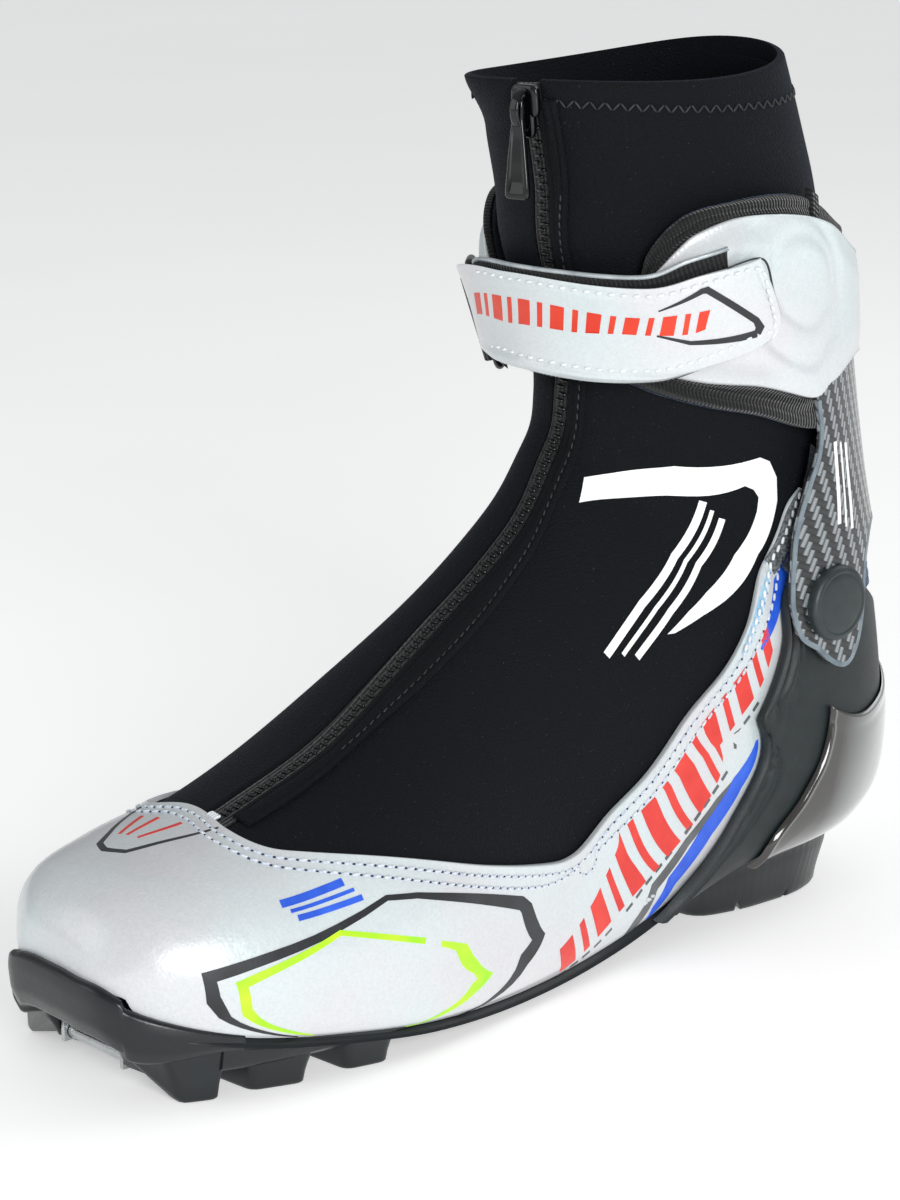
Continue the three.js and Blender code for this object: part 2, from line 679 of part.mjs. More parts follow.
function heelLoop() {
  const low = lastPoint(10.5, 180, cradleOut);
  const high = lastPoint(11, 180, cradleOut);
  const middle = low.clone().lerp(high, 0.5);
  const half = (high.z - low.z) / 2 + 3;
  const outline = new THREE.Shape();
  outline.absellipse(0, 0, LOOP_REACH, half, 0, 2 * Math.PI);
  const hole = new THREE.Path();
  hole.absellipse(0, 0, LOOP_REACH - LOOP_WALL, half - LOOP_WALL, 0, 2 * Math.PI, true);
  outline.holes.push(hole);
  const geometry = new THREE.ExtrudeGeometry(outline, {
    depth: LOOP_WIDTH, bevelEnabled: false, curveSegments: 16,
  });
  geometry.translate(0, 0, -LOOP_WIDTH / 2).applyMatrix4(sideways);
  const loop = solid(geometry.translate(0, middle.y + 2, middle.z));
  return shapeOf(loop.subtract(solid(sock(8, 13, 36, cradleOut + 2 * LAYER_GAP))));
}

// ---------------------------------------------------------------- pivots

const pivotSides = { outer: PIVOT_V, inner: 360 - PIVOT_V };
const pivotPoint = lastPoint(PIVOT_U, PIVOT_V, carbonOut);

function pivotRod(side, radius, from, to, sides = 48) {
  const sign = side === "outer" ? 1 : -1;
  const centre = new THREE.Vector3((sign * (from + to)) / 2, pivotPoint.y, pivotPoint.z);
  return rod(centre, new THREE.Vector3(1, 0, 0), radius, to - from, sides);
}

function withPivotHoles(body) {
  const reach = acrossFoot(60);
  return Object.keys(pivotSides).reduce(
    (rest, side) => rest.subtract(pivotRod(side, PIVOT_STEM_RADIUS + PIVOT_RUN, 5, reach)),
    body,
  );
}

function sideX(side, out) {
  const v = pivotSides[side];
  const target = new THREE.Vector2(pivotPoint.y, pivotPoint.z);
  let best = null;
  for (let du = -0.6; du <= 0.6; du += 0.05)
    for (let dv = -12; dv <= 12; dv += 1) {
      const p = lastPoint(PIVOT_U + du, v + dv, out);
      const miss = target.distanceTo(new THREE.Vector2(p.y, p.z));
      if (!best || miss < best.miss) best = { miss, x: Math.abs(p.x) };
    }
  return best.x;
}

// A rivet that turns with the cuff: a domed cap outside the arm and a stem through the counter.
function pivot(side) {
  const sign = side === "outer" ? 1 : -1;
  const seat = sideX(side, carbonOut);
  const profile = [
    [0, seat - 4], [PIVOT_CAP_RADIUS, seat - 4], [PIVOT_CAP_RADIUS, seat + PIVOT_CAP_RISE * 0.5],
    [PIVOT_CAP_RADIUS - 1.2, seat + PIVOT_CAP_RISE * 0.85],
    [PIVOT_CAP_RADIUS * 0.55, seat + PIVOT_CAP_RISE], [0, seat + PIVOT_CAP_RISE],
  ].map(([r, h]) => new THREE.Vector2(r, h));
  const cap = new THREE.LatheGeometry(profile, 32).rotateZ(-Math.PI / 2);
  if (sign < 0) cap.rotateZ(Math.PI);
  cap.translate(0, pivotPoint.y, pivotPoint.z);
  const seatBody = solid(sock(8.5, 12, 36, carbonOut + CLEARANCE));
  const stemFrom = sideX(side, 0) + CLEARANCE + 0.4;
  const stem = pivotRod(side, PIVOT_STEM_RADIUS, stemFrom, seat + 1.5);
  return shapeOf(solid(cap).subtract(seatBody).add(stem));
}

// ---------------------------------------------------------------- cuff

const cuffLow = [[10.6, 26], [10.87, 38], [11.27, 56], [11.77, 76], [12.07, 95], [12.4, 106],
  [12.85, 130], [13.05, 180]];
const cuffHigh = [[11.5, 26], [12.42, 46], [13.02, 57], [13.33, 64], [13.6, 76], [13.73, 92],
  [13.73, 109], [13.6, 130], [13.6, 180]];
const trimLow = [[10.3, 18], [10.6, 32], [10.75, 43], [11.05, 58], [11.45, 76], [11.68, 91],
  [12, 110], [12.4, 140], [12.55, 180]];
const trimHigh = [[11.2, 18], [12.12, 40], [12.9, 49], [13.5, 61], [13.77, 78], [13.9, 97],
  [13.87, 110], [13.75, 130], [13.75, 180]];

const roundCuff = (places) => edge(roundBack(places));

function carbonCuff() {
  const tip = [[9.47, 84], [9.53, 89], [9.8, 97], [10.35, 105], [11, 114], [11.45, 128],
    [11.65, 150], [11.7, 180]];
  const high = roundCuff([[12.13, 98], [12.9, 112], [13.3, 135], [13.4, 180]]);
  const side = edge([[9.47, 84], [9.73, 80], [10.33, 80], [11, 87], [11.7, 96], [12.13, 98]]);
  const end = (s) => [side(s)[0], 360 - side(s)[1]];
  const body = wall(field(roundCuff(tip), high, side, end), evenly(7), evenly(26), carbonIn, carbonOut);
  return shapeOf(Object.keys(pivotSides).reduce(
    (rest, name) => rest.subtract(pivotRod(name, PIVOT_STEM_RADIUS + CLEARANCE, 5, 90)),
    solid(body),
  ));
}

function cuffShell() {
  return wall(between(roundCuff(cuffLow), roundCuff(cuffHigh)), evenly(4), evenly(32), shellIn, shellOut);
}

function cuffPadding() {
  return wall(between(roundCuff(trimLow), roundCuff(trimHigh)), evenly(5), evenly(32), paddingIn, paddingOut);
}

function cuffTrim(places, width) {
  const inner = places.map(([u, v]) => [u + width, v + (width > 0 ? 1 : -1)]);
  return wall(between(roundCuff(places), roundCuff(inner)), evenly(1), evenly(32), trimIn, trimOut);
}

// ---------------------------------------------------------------- strap

const strapTop = [[11.85, -32], [11.62, -18], [11.51, 1], [11.67, 22], [12.15, 44], [12.75, 61],
  [13.23, 78]];
const strapBottom = [[10.3, -32], [9.9, -17], [9.71, 3], [9.95, 21], [10.67, 41], [11.4, 56],
  [12.02, 69]];

const ringCentre = strapInnerOut + SLEEVE_INNER + LAYER_GAP;
const ringAxes = levelAxesAt(RING_U, RING_V, ringCentre);
const ringBack = ringAxes.origin.clone()
  .addScaledVector(ringAxes.along, -(RING_LENGTH - RING_BAR));
const strapLift = (v, base) => base + 2.4 * smooth((-v - 2) / 34);

function strapRing() {
  const outline = roundedRectangle(RING_LENGTH, RING_SLOT + 2 * RING_BAR, 2.4);
  outline.holes.push(
    roundedRectangle(RING_LENGTH - 2 * RING_BAR, RING_SLOT, 1, THREE.Path),
  );
  const axes = { ...ringAxes };
  axes.origin = ringAxes.origin.clone()
    .addScaledVector(ringAxes.along, -(RING_LENGTH - RING_BAR) / 2);
  return shapeOf(plate(outline, RING_BAR, axes, -RING_BAR / 2));
}

// Cloth turned round a ring bar, as a tube.
function sleeve(centre, length) {
  const outer = rod(centre, ringAxes.up, SLEEVE_INNER + STRAP_WALL, length, 20);
  return outer.subtract(rod(centre, ringAxes.up, SLEEVE_INNER, length + 2, 20));
}

function strapInner() {
  const top = edge([[12.12, -43], [11.92, -24], [11.73, 1], [11.9, 22], [12.35, 44], [12.8, 58]]);
  const bottom = edge([[10.57, -43], [10.1, -22], [9.79, 3], [10.03, 21], [10.7, 41],
    [11.4, 56]]);
  const leg = solid(wall(between(bottom, top), evenly(3), evenly(20), strapInnerIn, strapInnerOut));
  const bar = rod(ringAxes.origin, ringAxes.up, SLEEVE_INNER, 60, 20);
  return shapeOf(leg.subtract(bar).add(sleeve(ringAxes.origin, RING_SLOT - 3)));
}

function strapOuter() {
  const end = [[12.02, 69], [12.27, 76], [12.57, 82], [12.9, 81.5], [13.23, 78]];
  const places = field(
    edge(strapBottom),
    edge(strapTop),
    straight(strapBottom[0], strapTop[0]),
    edge(end),
  );
  const from = (u, v) => strapLift(v, strapOuterIn);
  const to = (u, v) => strapLift(v, strapOuterOut);
  return wall(places, evenly(3), evenly(26), from, to);
}

function hookPatch() {
  const low = edge([[10.5, 20], [10.95, 38], [11.6, 54]]);
  const high = edge([[11.4, 20], [11.85, 38], [12.45, 54]]);
  return wall(between(low, high), evenly(2), evenly(8), hookIn, hookOut);
}

// A web of cloth that ties the ring to the inner side of the cuff.
function ringTab() {
  const far = [[12.3, -92], [13.3, -92]];
  const near = [[11.2, -61.5], [12.33, -61.5]];
  const height = (v) => smooth((v + 92) / 28) * 5.2;
  const web = wall(between(edge([far[0], near[0]]), edge([far[1], near[1]])), evenly(2), evenly(8),
    (u, v) => strapInnerIn + height(v), (u, v) => strapInnerOut + height(v));
  const bar = rod(ringBack, ringAxes.up, SLEEVE_INNER, 60, 20);
  return shapeOf(solid(web).subtract(bar).add(sleeve(ringBack, 24)));
}

// ---------------------------------------------------------------- zip slider and pull

const sliderLift = flapOut + LAYER_GAP;
const sliderAxes = axesAt(SLIDER.u, 10.5, sliderLift);
const pinCentre = sliderAxes.origin.clone()
  .addScaledVector(sliderAxes.normal, SLIDER.wall + 1.8)
  .addScaledVector(sliderAxes.up, 2);
const pullAxes = {
  origin: pinCentre,
  along: sliderAxes.along.clone().setZ(0).normalize(),
  up: new THREE.Vector3(0, 0, 1),
};
pullAxes.normal = new THREE.Vector3().crossVectors(pullAxes.along, pullAxes.up);

function zipSlider() {
  const { length, width, wall: thick } = SLIDER;
  let body = plate(roundedRectangle(width, length, 3), thick, sliderAxes);
  for (const side of [-1, 1]) {
    const ear = roundedRectangle(1.6, 5.4, 0.7);
    const place = { ...sliderAxes };
    place.origin = sliderAxes.origin.clone()
      .addScaledVector(sliderAxes.along, side * (PULL.width / 2 - 0.6))
      .addScaledVector(sliderAxes.up, 2);
    body = body.add(plate(ear, 3.2, place, thick - 0.4));
  }
  return shapeOf(body.subtract(rod(pinCentre, pullAxes.along, PULL.pin + 0.15, 30, 12)));
}

function zipPull() {
  const { length, width, wall: thick, pin } = PULL;
  const outline = new THREE.Shape();
  outline.moveTo(-1.7, 0.8);
  outline.lineTo(-1.7, -5);
  outline.lineTo(-width / 2, -length + 4);
  outline.quadraticCurveTo(-width / 2, -length, 0, -length);
  outline.quadraticCurveTo(width / 2, -length, width / 2, -length + 4);
  outline.lineTo(1.7, -5);
  outline.lineTo(1.7, 0.8);
  outline.closePath();
  const window = new THREE.Path();
  window.moveTo(-0.8, -9);
  window.lineTo(0.8, -9);
  window.lineTo(1.7, -length + 5);
  window.lineTo(-1.7, -length + 5);
  window.closePath();
  outline.holes.push(window);
  const tab = plate(outline, thick, pullAxes, -thick / 2);
  return shapeOf(tab.add(rod(pinCentre, pullAxes.along, pin, PULL.width - 0.6, 12)));
}

// ---------------------------------------------------------------- the boot

const finish = (color, roughness, metalness = 0) => ({ color, roughness, metalness });
const PEARL = finish(0xc9ccd0, 0.35);
const NEOPRENE = finish(0x0b0d10, 0.85);
const BLACK_TPU = finish(0x161b1c, 0.45);
const COUNTER_RUBBER = finish(0x1e2627, 0.6);
const GREY_GLOSS = finish(0x5a5f60, 0.25);
const CARBON = finish(0x33373a, 0.3);
const WEBBING = finish(0x0c0c0d, 0.8);
const STEEL = finish(0xa8abad, 0.3, 1);
const LINING = finish(0x17191b, 0.9);

const pieces = {
  outsole: [outsole(), BLACK_TPU],
  heel_block: [heelBlock(), BLACK_TPU],
  toe_bar: [shapeOf(toeBarSolid(BAR_RADIUS, BAR_HOLD)), STEEL],
  toe_bar_plate: [toeBarPlate(), STEEL],
  lasting_board: [underfoot(1.9, 9.25, 37.5, boardIn, boardOut), LINING],
  footbed: [underfoot(2.3, 9, 30, footbedIn, footbedOut), LINING],
  liner: [liner(), LINING],
  gaiter: [gaiter(), NEOPRENE],
  collar_hem: [
    besideZip(6, 354, 14.35, 14.8, 24, hemIn, hemOut), WEBBING],
  zip_tape: [
    besideZip(-ZIP_TAPE_HALF, ZIP_TAPE_HALF, 3.5, 14.8, 1, gaiterIn + 0.3, -0.4), WEBBING],
  zip_teeth: [
    besideZip(-ZIP_TEETH_HALF, ZIP_TEETH_HALF, 4.1, 14.75, 1, 0.3, 0.3 + ZIP_TEETH_WALL),
    BLACK_TPU],
  zip_flap: [zipFlap(), NEOPRENE],
  zip_slider: [zipSlider(), BLACK_TPU],
  zip_pull: [zipPull(), BLACK_TPU],
  vamp: [vamp(), PEARL],
  heel_counter: [heelCounter(), COUNTER_RUBBER],
  counter_padding: [counterPadding(), WEBBING],
  heel_cradle: [heelCradle(), GREY_GLOSS],
  heel_loop: [heelLoop(), WEBBING],
  carbon_cuff: [carbonCuff(), CARBON],
  cuff_padding: [cuffPadding(), LINING],
  cuff_trim_top: [cuffTrim(trimHigh, -0.28), WEBBING],
  cuff_trim_bottom: [cuffTrim(trimLow, 0.28), WEBBING],
  cuff_shell: [cuffShell(), PEARL],
  pivot_outer: [pivot("outer"), COUNTER_RUBBER],
  pivot_inner: [pivot("inner"), COUNTER_RUBBER],
  ring_tab: [ringTab(), WEBBING],
  strap_ring: [strapRing(), BLACK_TPU],
  strap_inner: [strapInner(), WEBBING],
  strap_outer: [strapOuter(), PEARL],
  hook_patch: [hookPatch(), WEBBING],
};

const boot = new THREE.Group();
for (const [name, [geometry, look]] of Object.entries(pieces)) {
  const mesh = new THREE.Mesh(geometry, new THREE.MeshStandardMaterial(look));
  mesh.name = name;
  boot.add(mesh);
}

// The origin is on the floor, under the middle of the boot's box.
const box = new THREE.Box3().setFromObject(boot, true);
boot.position.set(-(box.min.x + box.max.x) / 2, -(box.min.y + box.max.y) / 2, -box.min.z);

// Where the moving pieces turn or slide, in the same frame as the meshes.
boot.userData.joints = {
  cuff_flex: [new THREE.Vector3(0, pivotPoint.y, pivotPoint.z), new THREE.Vector3(1, 0, 0)],
  strap_open: [ringAxes.origin, ringAxes.up.clone().negate()],
  zip_slide: [sliderAxes.origin, sliderAxes.up.clone().negate()],
  zip_pull_swing: [pinCentre, pullAxes.along.clone().negate()],
};

export default boot;
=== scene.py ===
# %% [markdown]
# # A cross-country skating boot
# A skating boot is built round a last, the wooden or plastic form of a foot. Every soft layer is
# wrapped on it: a knitted neoprene gaiter, a synthetic leather vamp, a rubber heel counter. A cuff
# with a carbon arm turns on a rivet at each ankle. The rigid frame comes first, because every
# surface below lies on the same last.

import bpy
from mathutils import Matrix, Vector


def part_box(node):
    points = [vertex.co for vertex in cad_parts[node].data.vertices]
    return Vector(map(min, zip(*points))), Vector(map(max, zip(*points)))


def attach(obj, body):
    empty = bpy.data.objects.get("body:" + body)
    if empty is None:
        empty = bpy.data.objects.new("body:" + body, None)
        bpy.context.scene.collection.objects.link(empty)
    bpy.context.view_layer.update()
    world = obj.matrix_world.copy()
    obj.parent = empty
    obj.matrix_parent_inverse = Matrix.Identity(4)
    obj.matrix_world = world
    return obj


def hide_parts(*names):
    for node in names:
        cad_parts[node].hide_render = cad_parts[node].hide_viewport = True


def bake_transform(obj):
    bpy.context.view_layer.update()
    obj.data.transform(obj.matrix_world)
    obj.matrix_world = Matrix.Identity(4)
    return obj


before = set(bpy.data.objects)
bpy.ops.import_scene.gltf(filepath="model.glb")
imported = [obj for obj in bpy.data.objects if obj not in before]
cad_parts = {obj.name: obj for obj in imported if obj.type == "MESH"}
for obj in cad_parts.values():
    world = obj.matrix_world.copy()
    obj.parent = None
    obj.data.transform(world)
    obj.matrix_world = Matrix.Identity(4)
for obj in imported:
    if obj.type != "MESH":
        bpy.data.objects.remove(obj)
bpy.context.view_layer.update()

import bpy
import numpy as np
from mathutils import Vector

MM = 0.001

# %% [markdown]
# ## The last
# Sixteen sections run from the toe to the collar. Each has its instep point, its sole point, its
# half widths, the height of its widest line and how square it is above and below that line. A
# place is (u, v): u counts sections and v is the angle round one, 0 on the instep line, 90 on the
# outer side and 180 under the sole. Whole arrays of places become points at once.

# %% Sections of the last
SECTIONS = np.array([
    [-143, 27, -143, 25, 16, 6, 0.6, 2, 4, -4],
    [-142.5, 42, -139.5, 21, 29, 10, 0.62, 2.3, 4.5, -4],
    [-133, 52, -130, 17.5, 38, 24, 0.64, 2.4, 5, -3],
    [-116, 57, -112, 14, 45, 32, 0.66, 2.4, 5.5, -2],
    [-95, 62, -86, 10.5, 49, 38, 0.68, 2.3, 6, -1],
    [-69, 73, -55, 6.5, 50, 41, 0.7, 2.2, 6, 0],
    [-42, 90, -18, 4, 45, 37, 0.7, 2.1, 6, 0],
    [-16, 108, 22, 6, 39, 32, 0.68, 2, 5.5, 0],
    [8, 126, 70, 18, 37, 30, 0.66, 2, 5, 0],
    [23, 144, 122, 23, 36, 30, 0.62, 2, 4, 0],
    [28, 160, 144, 44, 36, 30, 0.58, 2, 2.6, 0],
    [27, 176, 142, 85, 37, 32, 0.54, 2, 2.2, 0],
    [23, 192, 132, 125, 38, 35, 0.52, 2, 2.1, 0],
    [18, 208, 124, 165, 39, 37, 0.5, 2, 2.1, 0],
    [16, 224, 117, 210, 40, 38.5, 0.5, 2, 2.1, 0],
    [14, 245, 101, 252, 37, 39, 0.5, 2, 2.1, 0],
])

# The toe bar lies 128 mm in front of the last's own origin, which ties the last to the frame.
bar_low, bar_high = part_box("toe_bar")
BAR_AHEAD = 128
SHIFT = np.array([*((a + b) / 2 / MM for a, b in zip(bar_low[:2], bar_high[:2])), 0.0])
SHIFT[1] += BAR_AHEAD
print("the last's origin in the frame, mm:", SHIFT.round(3))


def smooth(x):
    """Eases from 0 to 1: three x squared less two x cubed, with x held to 0..1."""
    x = np.clip(x, 0, 1)
    return x * x * (3 - 2 * x)


def mix(a, b, t):
    """Goes from a to b as t goes from 0 to 1."""
    return a + (b - a) * t


def hump(x, centre, width):
    """A bell: e to the minus square of the distance from centre, counted in widths."""
    return np.exp(-(((x - centre) / width) ** 2))


def through(rows, x):
    """A Catmull-Rom curve: near row i each value is a cubic of the four rows around it."""
    rows, x = np.asarray(rows, float), np.clip(np.asarray(x, float), 0, len(rows) - 1)
    i = np.minimum(np.floor(x).astype(int), len(rows) - 2)
    f = (x - i)[..., None]
    b, c = rows[i], rows[i + 1]
    a = np.where((i > 0)[..., None], rows[np.maximum(i - 1, 0)], 2 * b - c)
    inside = (i + 2 <= len(rows) - 1)[..., None]
    d = np.where(inside, rows[np.minimum(i + 2, len(rows) - 1)], 2 * c - b)
    return 0.5 * (2 * b + (c - a) * f + (2 * a - 5 * b + 4 * c - d) * f**2
                  + (3 * b - a - 3 * c + d) * f**3)


def last(u, v, out=0.0):
    """The last's surface moved out by `out` mm. Half of a section is a superellipse: across is
    the half width times |sin v| to the power 2/n, and the drop from the instep point follows
    |cos v| to the same power. Near the toe the layer also moves forwards."""
    u, v, out = np.broadcast_arrays(*(np.asarray(x, float) for x in (u, v, out)))
    row = np.moveaxis(through(SECTIONS, u), -1, 0)
    ty, tz, by, bz, outer, inner, waist, above, below, shift = row
    height = np.hypot(ty - by, tz - bz)
    up_y, up_z = (ty - by) / height, (tz - bz) / height
    lean = 1 - smooth((u - 1) / 2)
    share = out / np.hypot(1, lean)
    tall = height + 2 * share
    wide = (waist * height + share) / tall
    cos, sin = np.cos(np.radians(v)), np.sin(np.radians(v))
    power = 2 / np.where(cos >= 0, above, below)
    reach = np.abs(cos) ** power
    drop = np.where(cos >= 0, wide * (1 - reach), wide + (1 - wide) * reach)
    half = np.where(sin >= 0, outer, inner) + share
    across = np.sign(sin) * np.abs(sin) ** power * half
    fall = share - drop * tall
    return np.stack([shift + across, ty + up_y * fall - up_z * lean * share,
                     tz + up_z * fall + up_y * lean * share], -1)


def unit(a):
    """The same direction, one long."""
    return a / np.maximum(np.linalg.norm(a, axis=-1, keepdims=True), 1e-9)


def slopes(u, v, out=0.0):
    """How the surface moves for one section up and for one degree round, by differences."""
    along = (last(u, v + 0.5, out) - last(u, v - 0.5, out))
    up = (last(u + 0.02, v, out) - last(u - 0.02, v, out)) / 0.04
    return up, along


def axes_at(u, v, out):
    """The point at a place, and there: along (towards larger v), up (collar) and outwards."""
    up, along = slopes(u, v, out)
    along = unit(along)
    up = unit(up - (up * along).sum(-1, keepdims=True) * along)
    return last(u, v, out), along, up, unit(np.cross(along, up))


print("the last is", np.ptp(last(np.linspace(0, 15, 200)[:, None], np.arange(0, 360, 2)),
                            axis=(0, 1)).round(1), "mm")

# %% [markdown]
# ## Edges, fields and layers
# A pattern piece on a last is bounded by four edges. Each edge is a curve through a few places,
# and the places between them follow a Coons patch: across plus along, less the flat patch of the
# corners. A layer is two such sheets, one inside the other, joined round the rim. Its outer sheet
# sinks in a quarter circle near the rim, which is how a folded or trimmed edge looks.

# %% Edges and fields
def edge(places):
    """A curve through places, run evenly along its true length: t in 0..1 gives (u, v)."""
    fine = through(places, np.linspace(0, len(places) - 1, 24 * (len(places) - 1) + 1))
    steps = np.linalg.norm(np.diff(last(fine[:, 0], fine[:, 1]), axis=0), axis=1)
    run = np.concatenate([[0], np.cumsum(steps)])
    return lambda t: np.stack([np.interp(t * run[-1], run, fine[:, k]) for k in (0, 1)], -1)


def straight(a, b):
    """Places on a straight line between two places."""
    return lambda t: mix(np.asarray(a, float), np.asarray(b, float), np.asarray(t)[..., None])


def round_front(places):
    """A line of the outer side carried on over the instep to the inner side."""
    return list(places) + [(u, -v) for u, v in places[::-1] if v != 0]


def round_back(places):
    """A line of the outer side carried on round the heel to the inner side."""
    return list(places) + [(u, 360 - v) for u, v in places[::-1] if v != 180]


def moved(places, du, dv):
    """The same line moved by du sections and dv degrees."""
    return [(u + du, v + dv) for u, v in places]


def field(low, high, start, end):
    """A Coons patch of places: across + along - the flat patch of the corners."""
    def places(s, t):
        s1, t1 = s[:, None, None], t[None, :, None]
        across = mix(low(t)[None], high(t)[None], s1)
        along = mix(start(s)[:, None], end(s)[:, None], t1)
        ends = [f(np.array([k]))[0] for f in (low, high) for k in (0.0, 1.0)]
        flat = mix(mix(ends[0], ends[1], t1), mix(ends[2], ends[3], t1), s1)
        return across + along - flat
    return places


def between(low, high):
    """A field whose two ends are straight."""
    a, b = low(np.array([0.0, 1.0])), high(np.array([0.0, 1.0]))
    return field(low, high, straight(a[0], b[0]), straight(a[1], b[1]))


def steps_for(count, rim):
    """Grid lines in 0..1: five close ones within `rim` of each end and even ones between."""
    near = rim * (1 - np.cos(np.linspace(0, np.pi / 2, 6)))
    return np.concatenate([near, np.linspace(rim, 1 - rim, count)[1:-1], 1 - near[::-1]])


# %% Putting points and faces into a mesh
def put(name, points, faces, material, coords=None, sharp=50):
    """Makes an object from points in mm of the last's axes and lists of faces of one size each.
    coords are mm along the surface, kept as the UV map `surface`."""
    points = np.asarray(points, float).reshape(-1, 3)
    mesh = bpy.data.meshes.new(name)
    loops = np.concatenate([np.asarray(f).ravel() for f in faces]).astype(np.int32)
    sizes = np.concatenate([np.full(len(f), np.asarray(f).shape[1]) for f in faces])
    starts = np.concatenate([[0], np.cumsum(sizes)[:-1]]).astype(np.int32)
    mesh.vertices.add(len(points))
    mesh.vertices.foreach_set("co", ((points + SHIFT) * MM).ravel())
    mesh.loops.add(len(loops))
    mesh.loops.foreach_set("vertex_index", loops)
    mesh.polygons.add(len(sizes))
    mesh.polygons.foreach_set("loop_start", starts)
    mesh.polygons.foreach_set("use_smooth", np.ones(len(sizes), bool))
    mesh.update(calc_edges=True)
    if coords is not None:
        layer = mesh.uv_layers.new(name="surface")
        flat = np.asarray(coords, float).reshape(-1, 2)[loops]
        layer.uv.foreach_set("vector", flat.ravel())
    mesh.validate()
    mesh.set_sharp_from_angle(angle=np.radians(sharp))
    made = bpy.data.objects.new(name, mesh)
    bpy.context.scene.collection.objects.link(made)
    mesh.materials.append(material)
    return made


def volume(points, faces):
    """Signed volume: a sixth of the triple products of every triangle of the fans."""
    p, total = np.asarray(points, float).reshape(-1, 3), 0.0
    for f in faces:
        f = np.asarray(f)
        for k in range(1, f.shape[1] - 1):
            total += np.einsum("ij,ij->i", p[f[:, 0]],
                               np.cross(p[f[:, k]], p[f[:, k + 1]])).sum()
    return total / 6


def outward(points, faces):
    """The same faces, all turned round if the closed shape came out inside out."""
    return faces if volume(points, faces) > 0 else [np.asarray(f)[:, ::-1] for f in faces]


def grid_faces(rows, columns, start=0, ring=False):
    """Four-sided faces of a grid; with ring the last column joins the first."""
    across = columns if ring else columns - 1
    i, j = np.meshgrid(np.arange(rows - 1), np.arange(across), indexing="ij")
    k = (j + 1) % columns
    at = lambda a, b: start + a * columns + b
    return np.stack([at(i, j), at(i, k), at(i + 1, k), at(i + 1, j)], -1).reshape(-1, 4)


def two_sheets(outer, inner):
    """Closes two grids of the same size into one wall."""
    rows, columns = outer.shape[:2]
    count = rows * columns
    rim = np.concatenate([np.arange(columns), np.arange(2, rows + 1) * columns - 1,
                          (rows - 1) * columns + np.arange(columns - 2, -1, -1),
                          np.arange(rows - 2, 0, -1) * columns])
    after = np.roll(rim, -1)
    quads = np.concatenate([grid_faces(rows, columns), grid_faces(rows, columns, count)[:, ::-1],
                            np.stack([after, rim, rim + count, after + count], -1)])
    points = np.concatenate([outer.reshape(-1, 3), inner.reshape(-1, 3)])
    return points, outward(points, [quads])


def loft(rings):
    """Points and faces of a closed shape through rings of one count, with a fan at each end."""
    rings = np.asarray(rings, float)
    rows, columns = rings.shape[:2]
    flat = np.concatenate([rings.reshape(-1, 3), rings[0].mean(0)[None], rings[-1].mean(0)[None]])
    k, after, hub = np.arange(columns), (np.arange(columns) + 1) % columns, rows * columns
    fans = np.concatenate([np.stack([after, k, np.full(columns, hub)], -1),
                           np.stack([(rows - 1) * columns + k, (rows - 1) * columns + after,
                                     np.full(columns, hub + 1)], -1)])
    return flat, outward(flat, [grid_faces(rows, columns, ring=True), fans])


def run_along(points, axis):
    """Length run from the first grid line along one axis, in mm."""
    steps = np.linalg.norm(np.diff(points, axis=axis), axis=-1)
    zero = np.zeros_like(np.take(steps, [0], axis=axis))
    return np.concatenate([zero, np.cumsum(steps, axis=axis)], axis=axis)


class Layer:
    """A wall over a field. `rim` is the radius of its edges in mm, `rims` says which of the four
    (low, high, start, end) have it, and `relief` adds to the outer sheet."""

    def __init__(self, name, places, rows, columns, inner, outer, material, rim=0.6,
                 rims=(1, 1, 1, 1), relief=None, sink=None, floor=0.12):
        rough = places(np.linspace(0, 1, 9), np.linspace(0, 1, 17))
        flat = last(rough[..., 0], rough[..., 1], outer)
        tall = np.median(run_along(flat, 0)[-1])
        long = np.median(run_along(flat, 1)[:, -1])
        s = steps_for(rows, min(rim / tall, 0.2))
        t = steps_for(columns, min(rim / long, 0.2))
        uv = places(s, t)
        self.u, self.v = uv[..., 0], uv[..., 1]
        base = last(self.u, self.v, outer)
        self.up, self.along = run_along(base, 0), run_along(base, 1)
        self.gaps = [self.up, self.up[-1:] - self.up, self.along, self.along[:, -1:] - self.along]
        used = [g / rim for g, on in zip(self.gaps, rims) if on]
        near = np.clip(np.minimum.reduce(used), 0, 1) if used else np.ones_like(self.up)
        round_off = np.sqrt(1 - (1 - near) ** 2)
        self.edge = np.minimum.reduce([g for g, on in zip(self.gaps, rims) if on] or [self.up])
        low = inner + (sink(self) if sink else 0)
        high = outer + (relief(self) if relief else 0) + (sink(self) if sink else 0)
        top = last(self.u, self.v, low + (high - low) * (floor + (1 - floor) * round_off))
        points, faces = two_sheets(top, last(self.u, self.v, low))
        middle = self.along - self.along[:, [self.along.shape[1] // 2]]
        coords = np.stack([middle, self.up], -1)
        self.object = put(name, points, faces, material, np.concatenate([coords, coords]))
        print(f"{name}: {len(points)} points, {tall:.0f} x {long:.0f} mm")

# %% [markdown]
# ## Materials
# Each material starts from what the real one is and how its surface was made. Patterns read the
# UV map `surface`, in mm along the cloth, or Object coordinates turned into mm.

# %% One function for a node and one for a material
def linear(code):
    """An sRGB hex colour as linear light: the low part divided by 12.92, the rest to 2.4."""
    part = np.array([int(code[k:k + 2], 16) for k in (1, 3, 5)]) / 255
    light = np.where(part <= 0.04045, part / 12.92, ((part + 0.055) / 1.055) ** 2.4)
    return (*light.tolist(), 1.0)


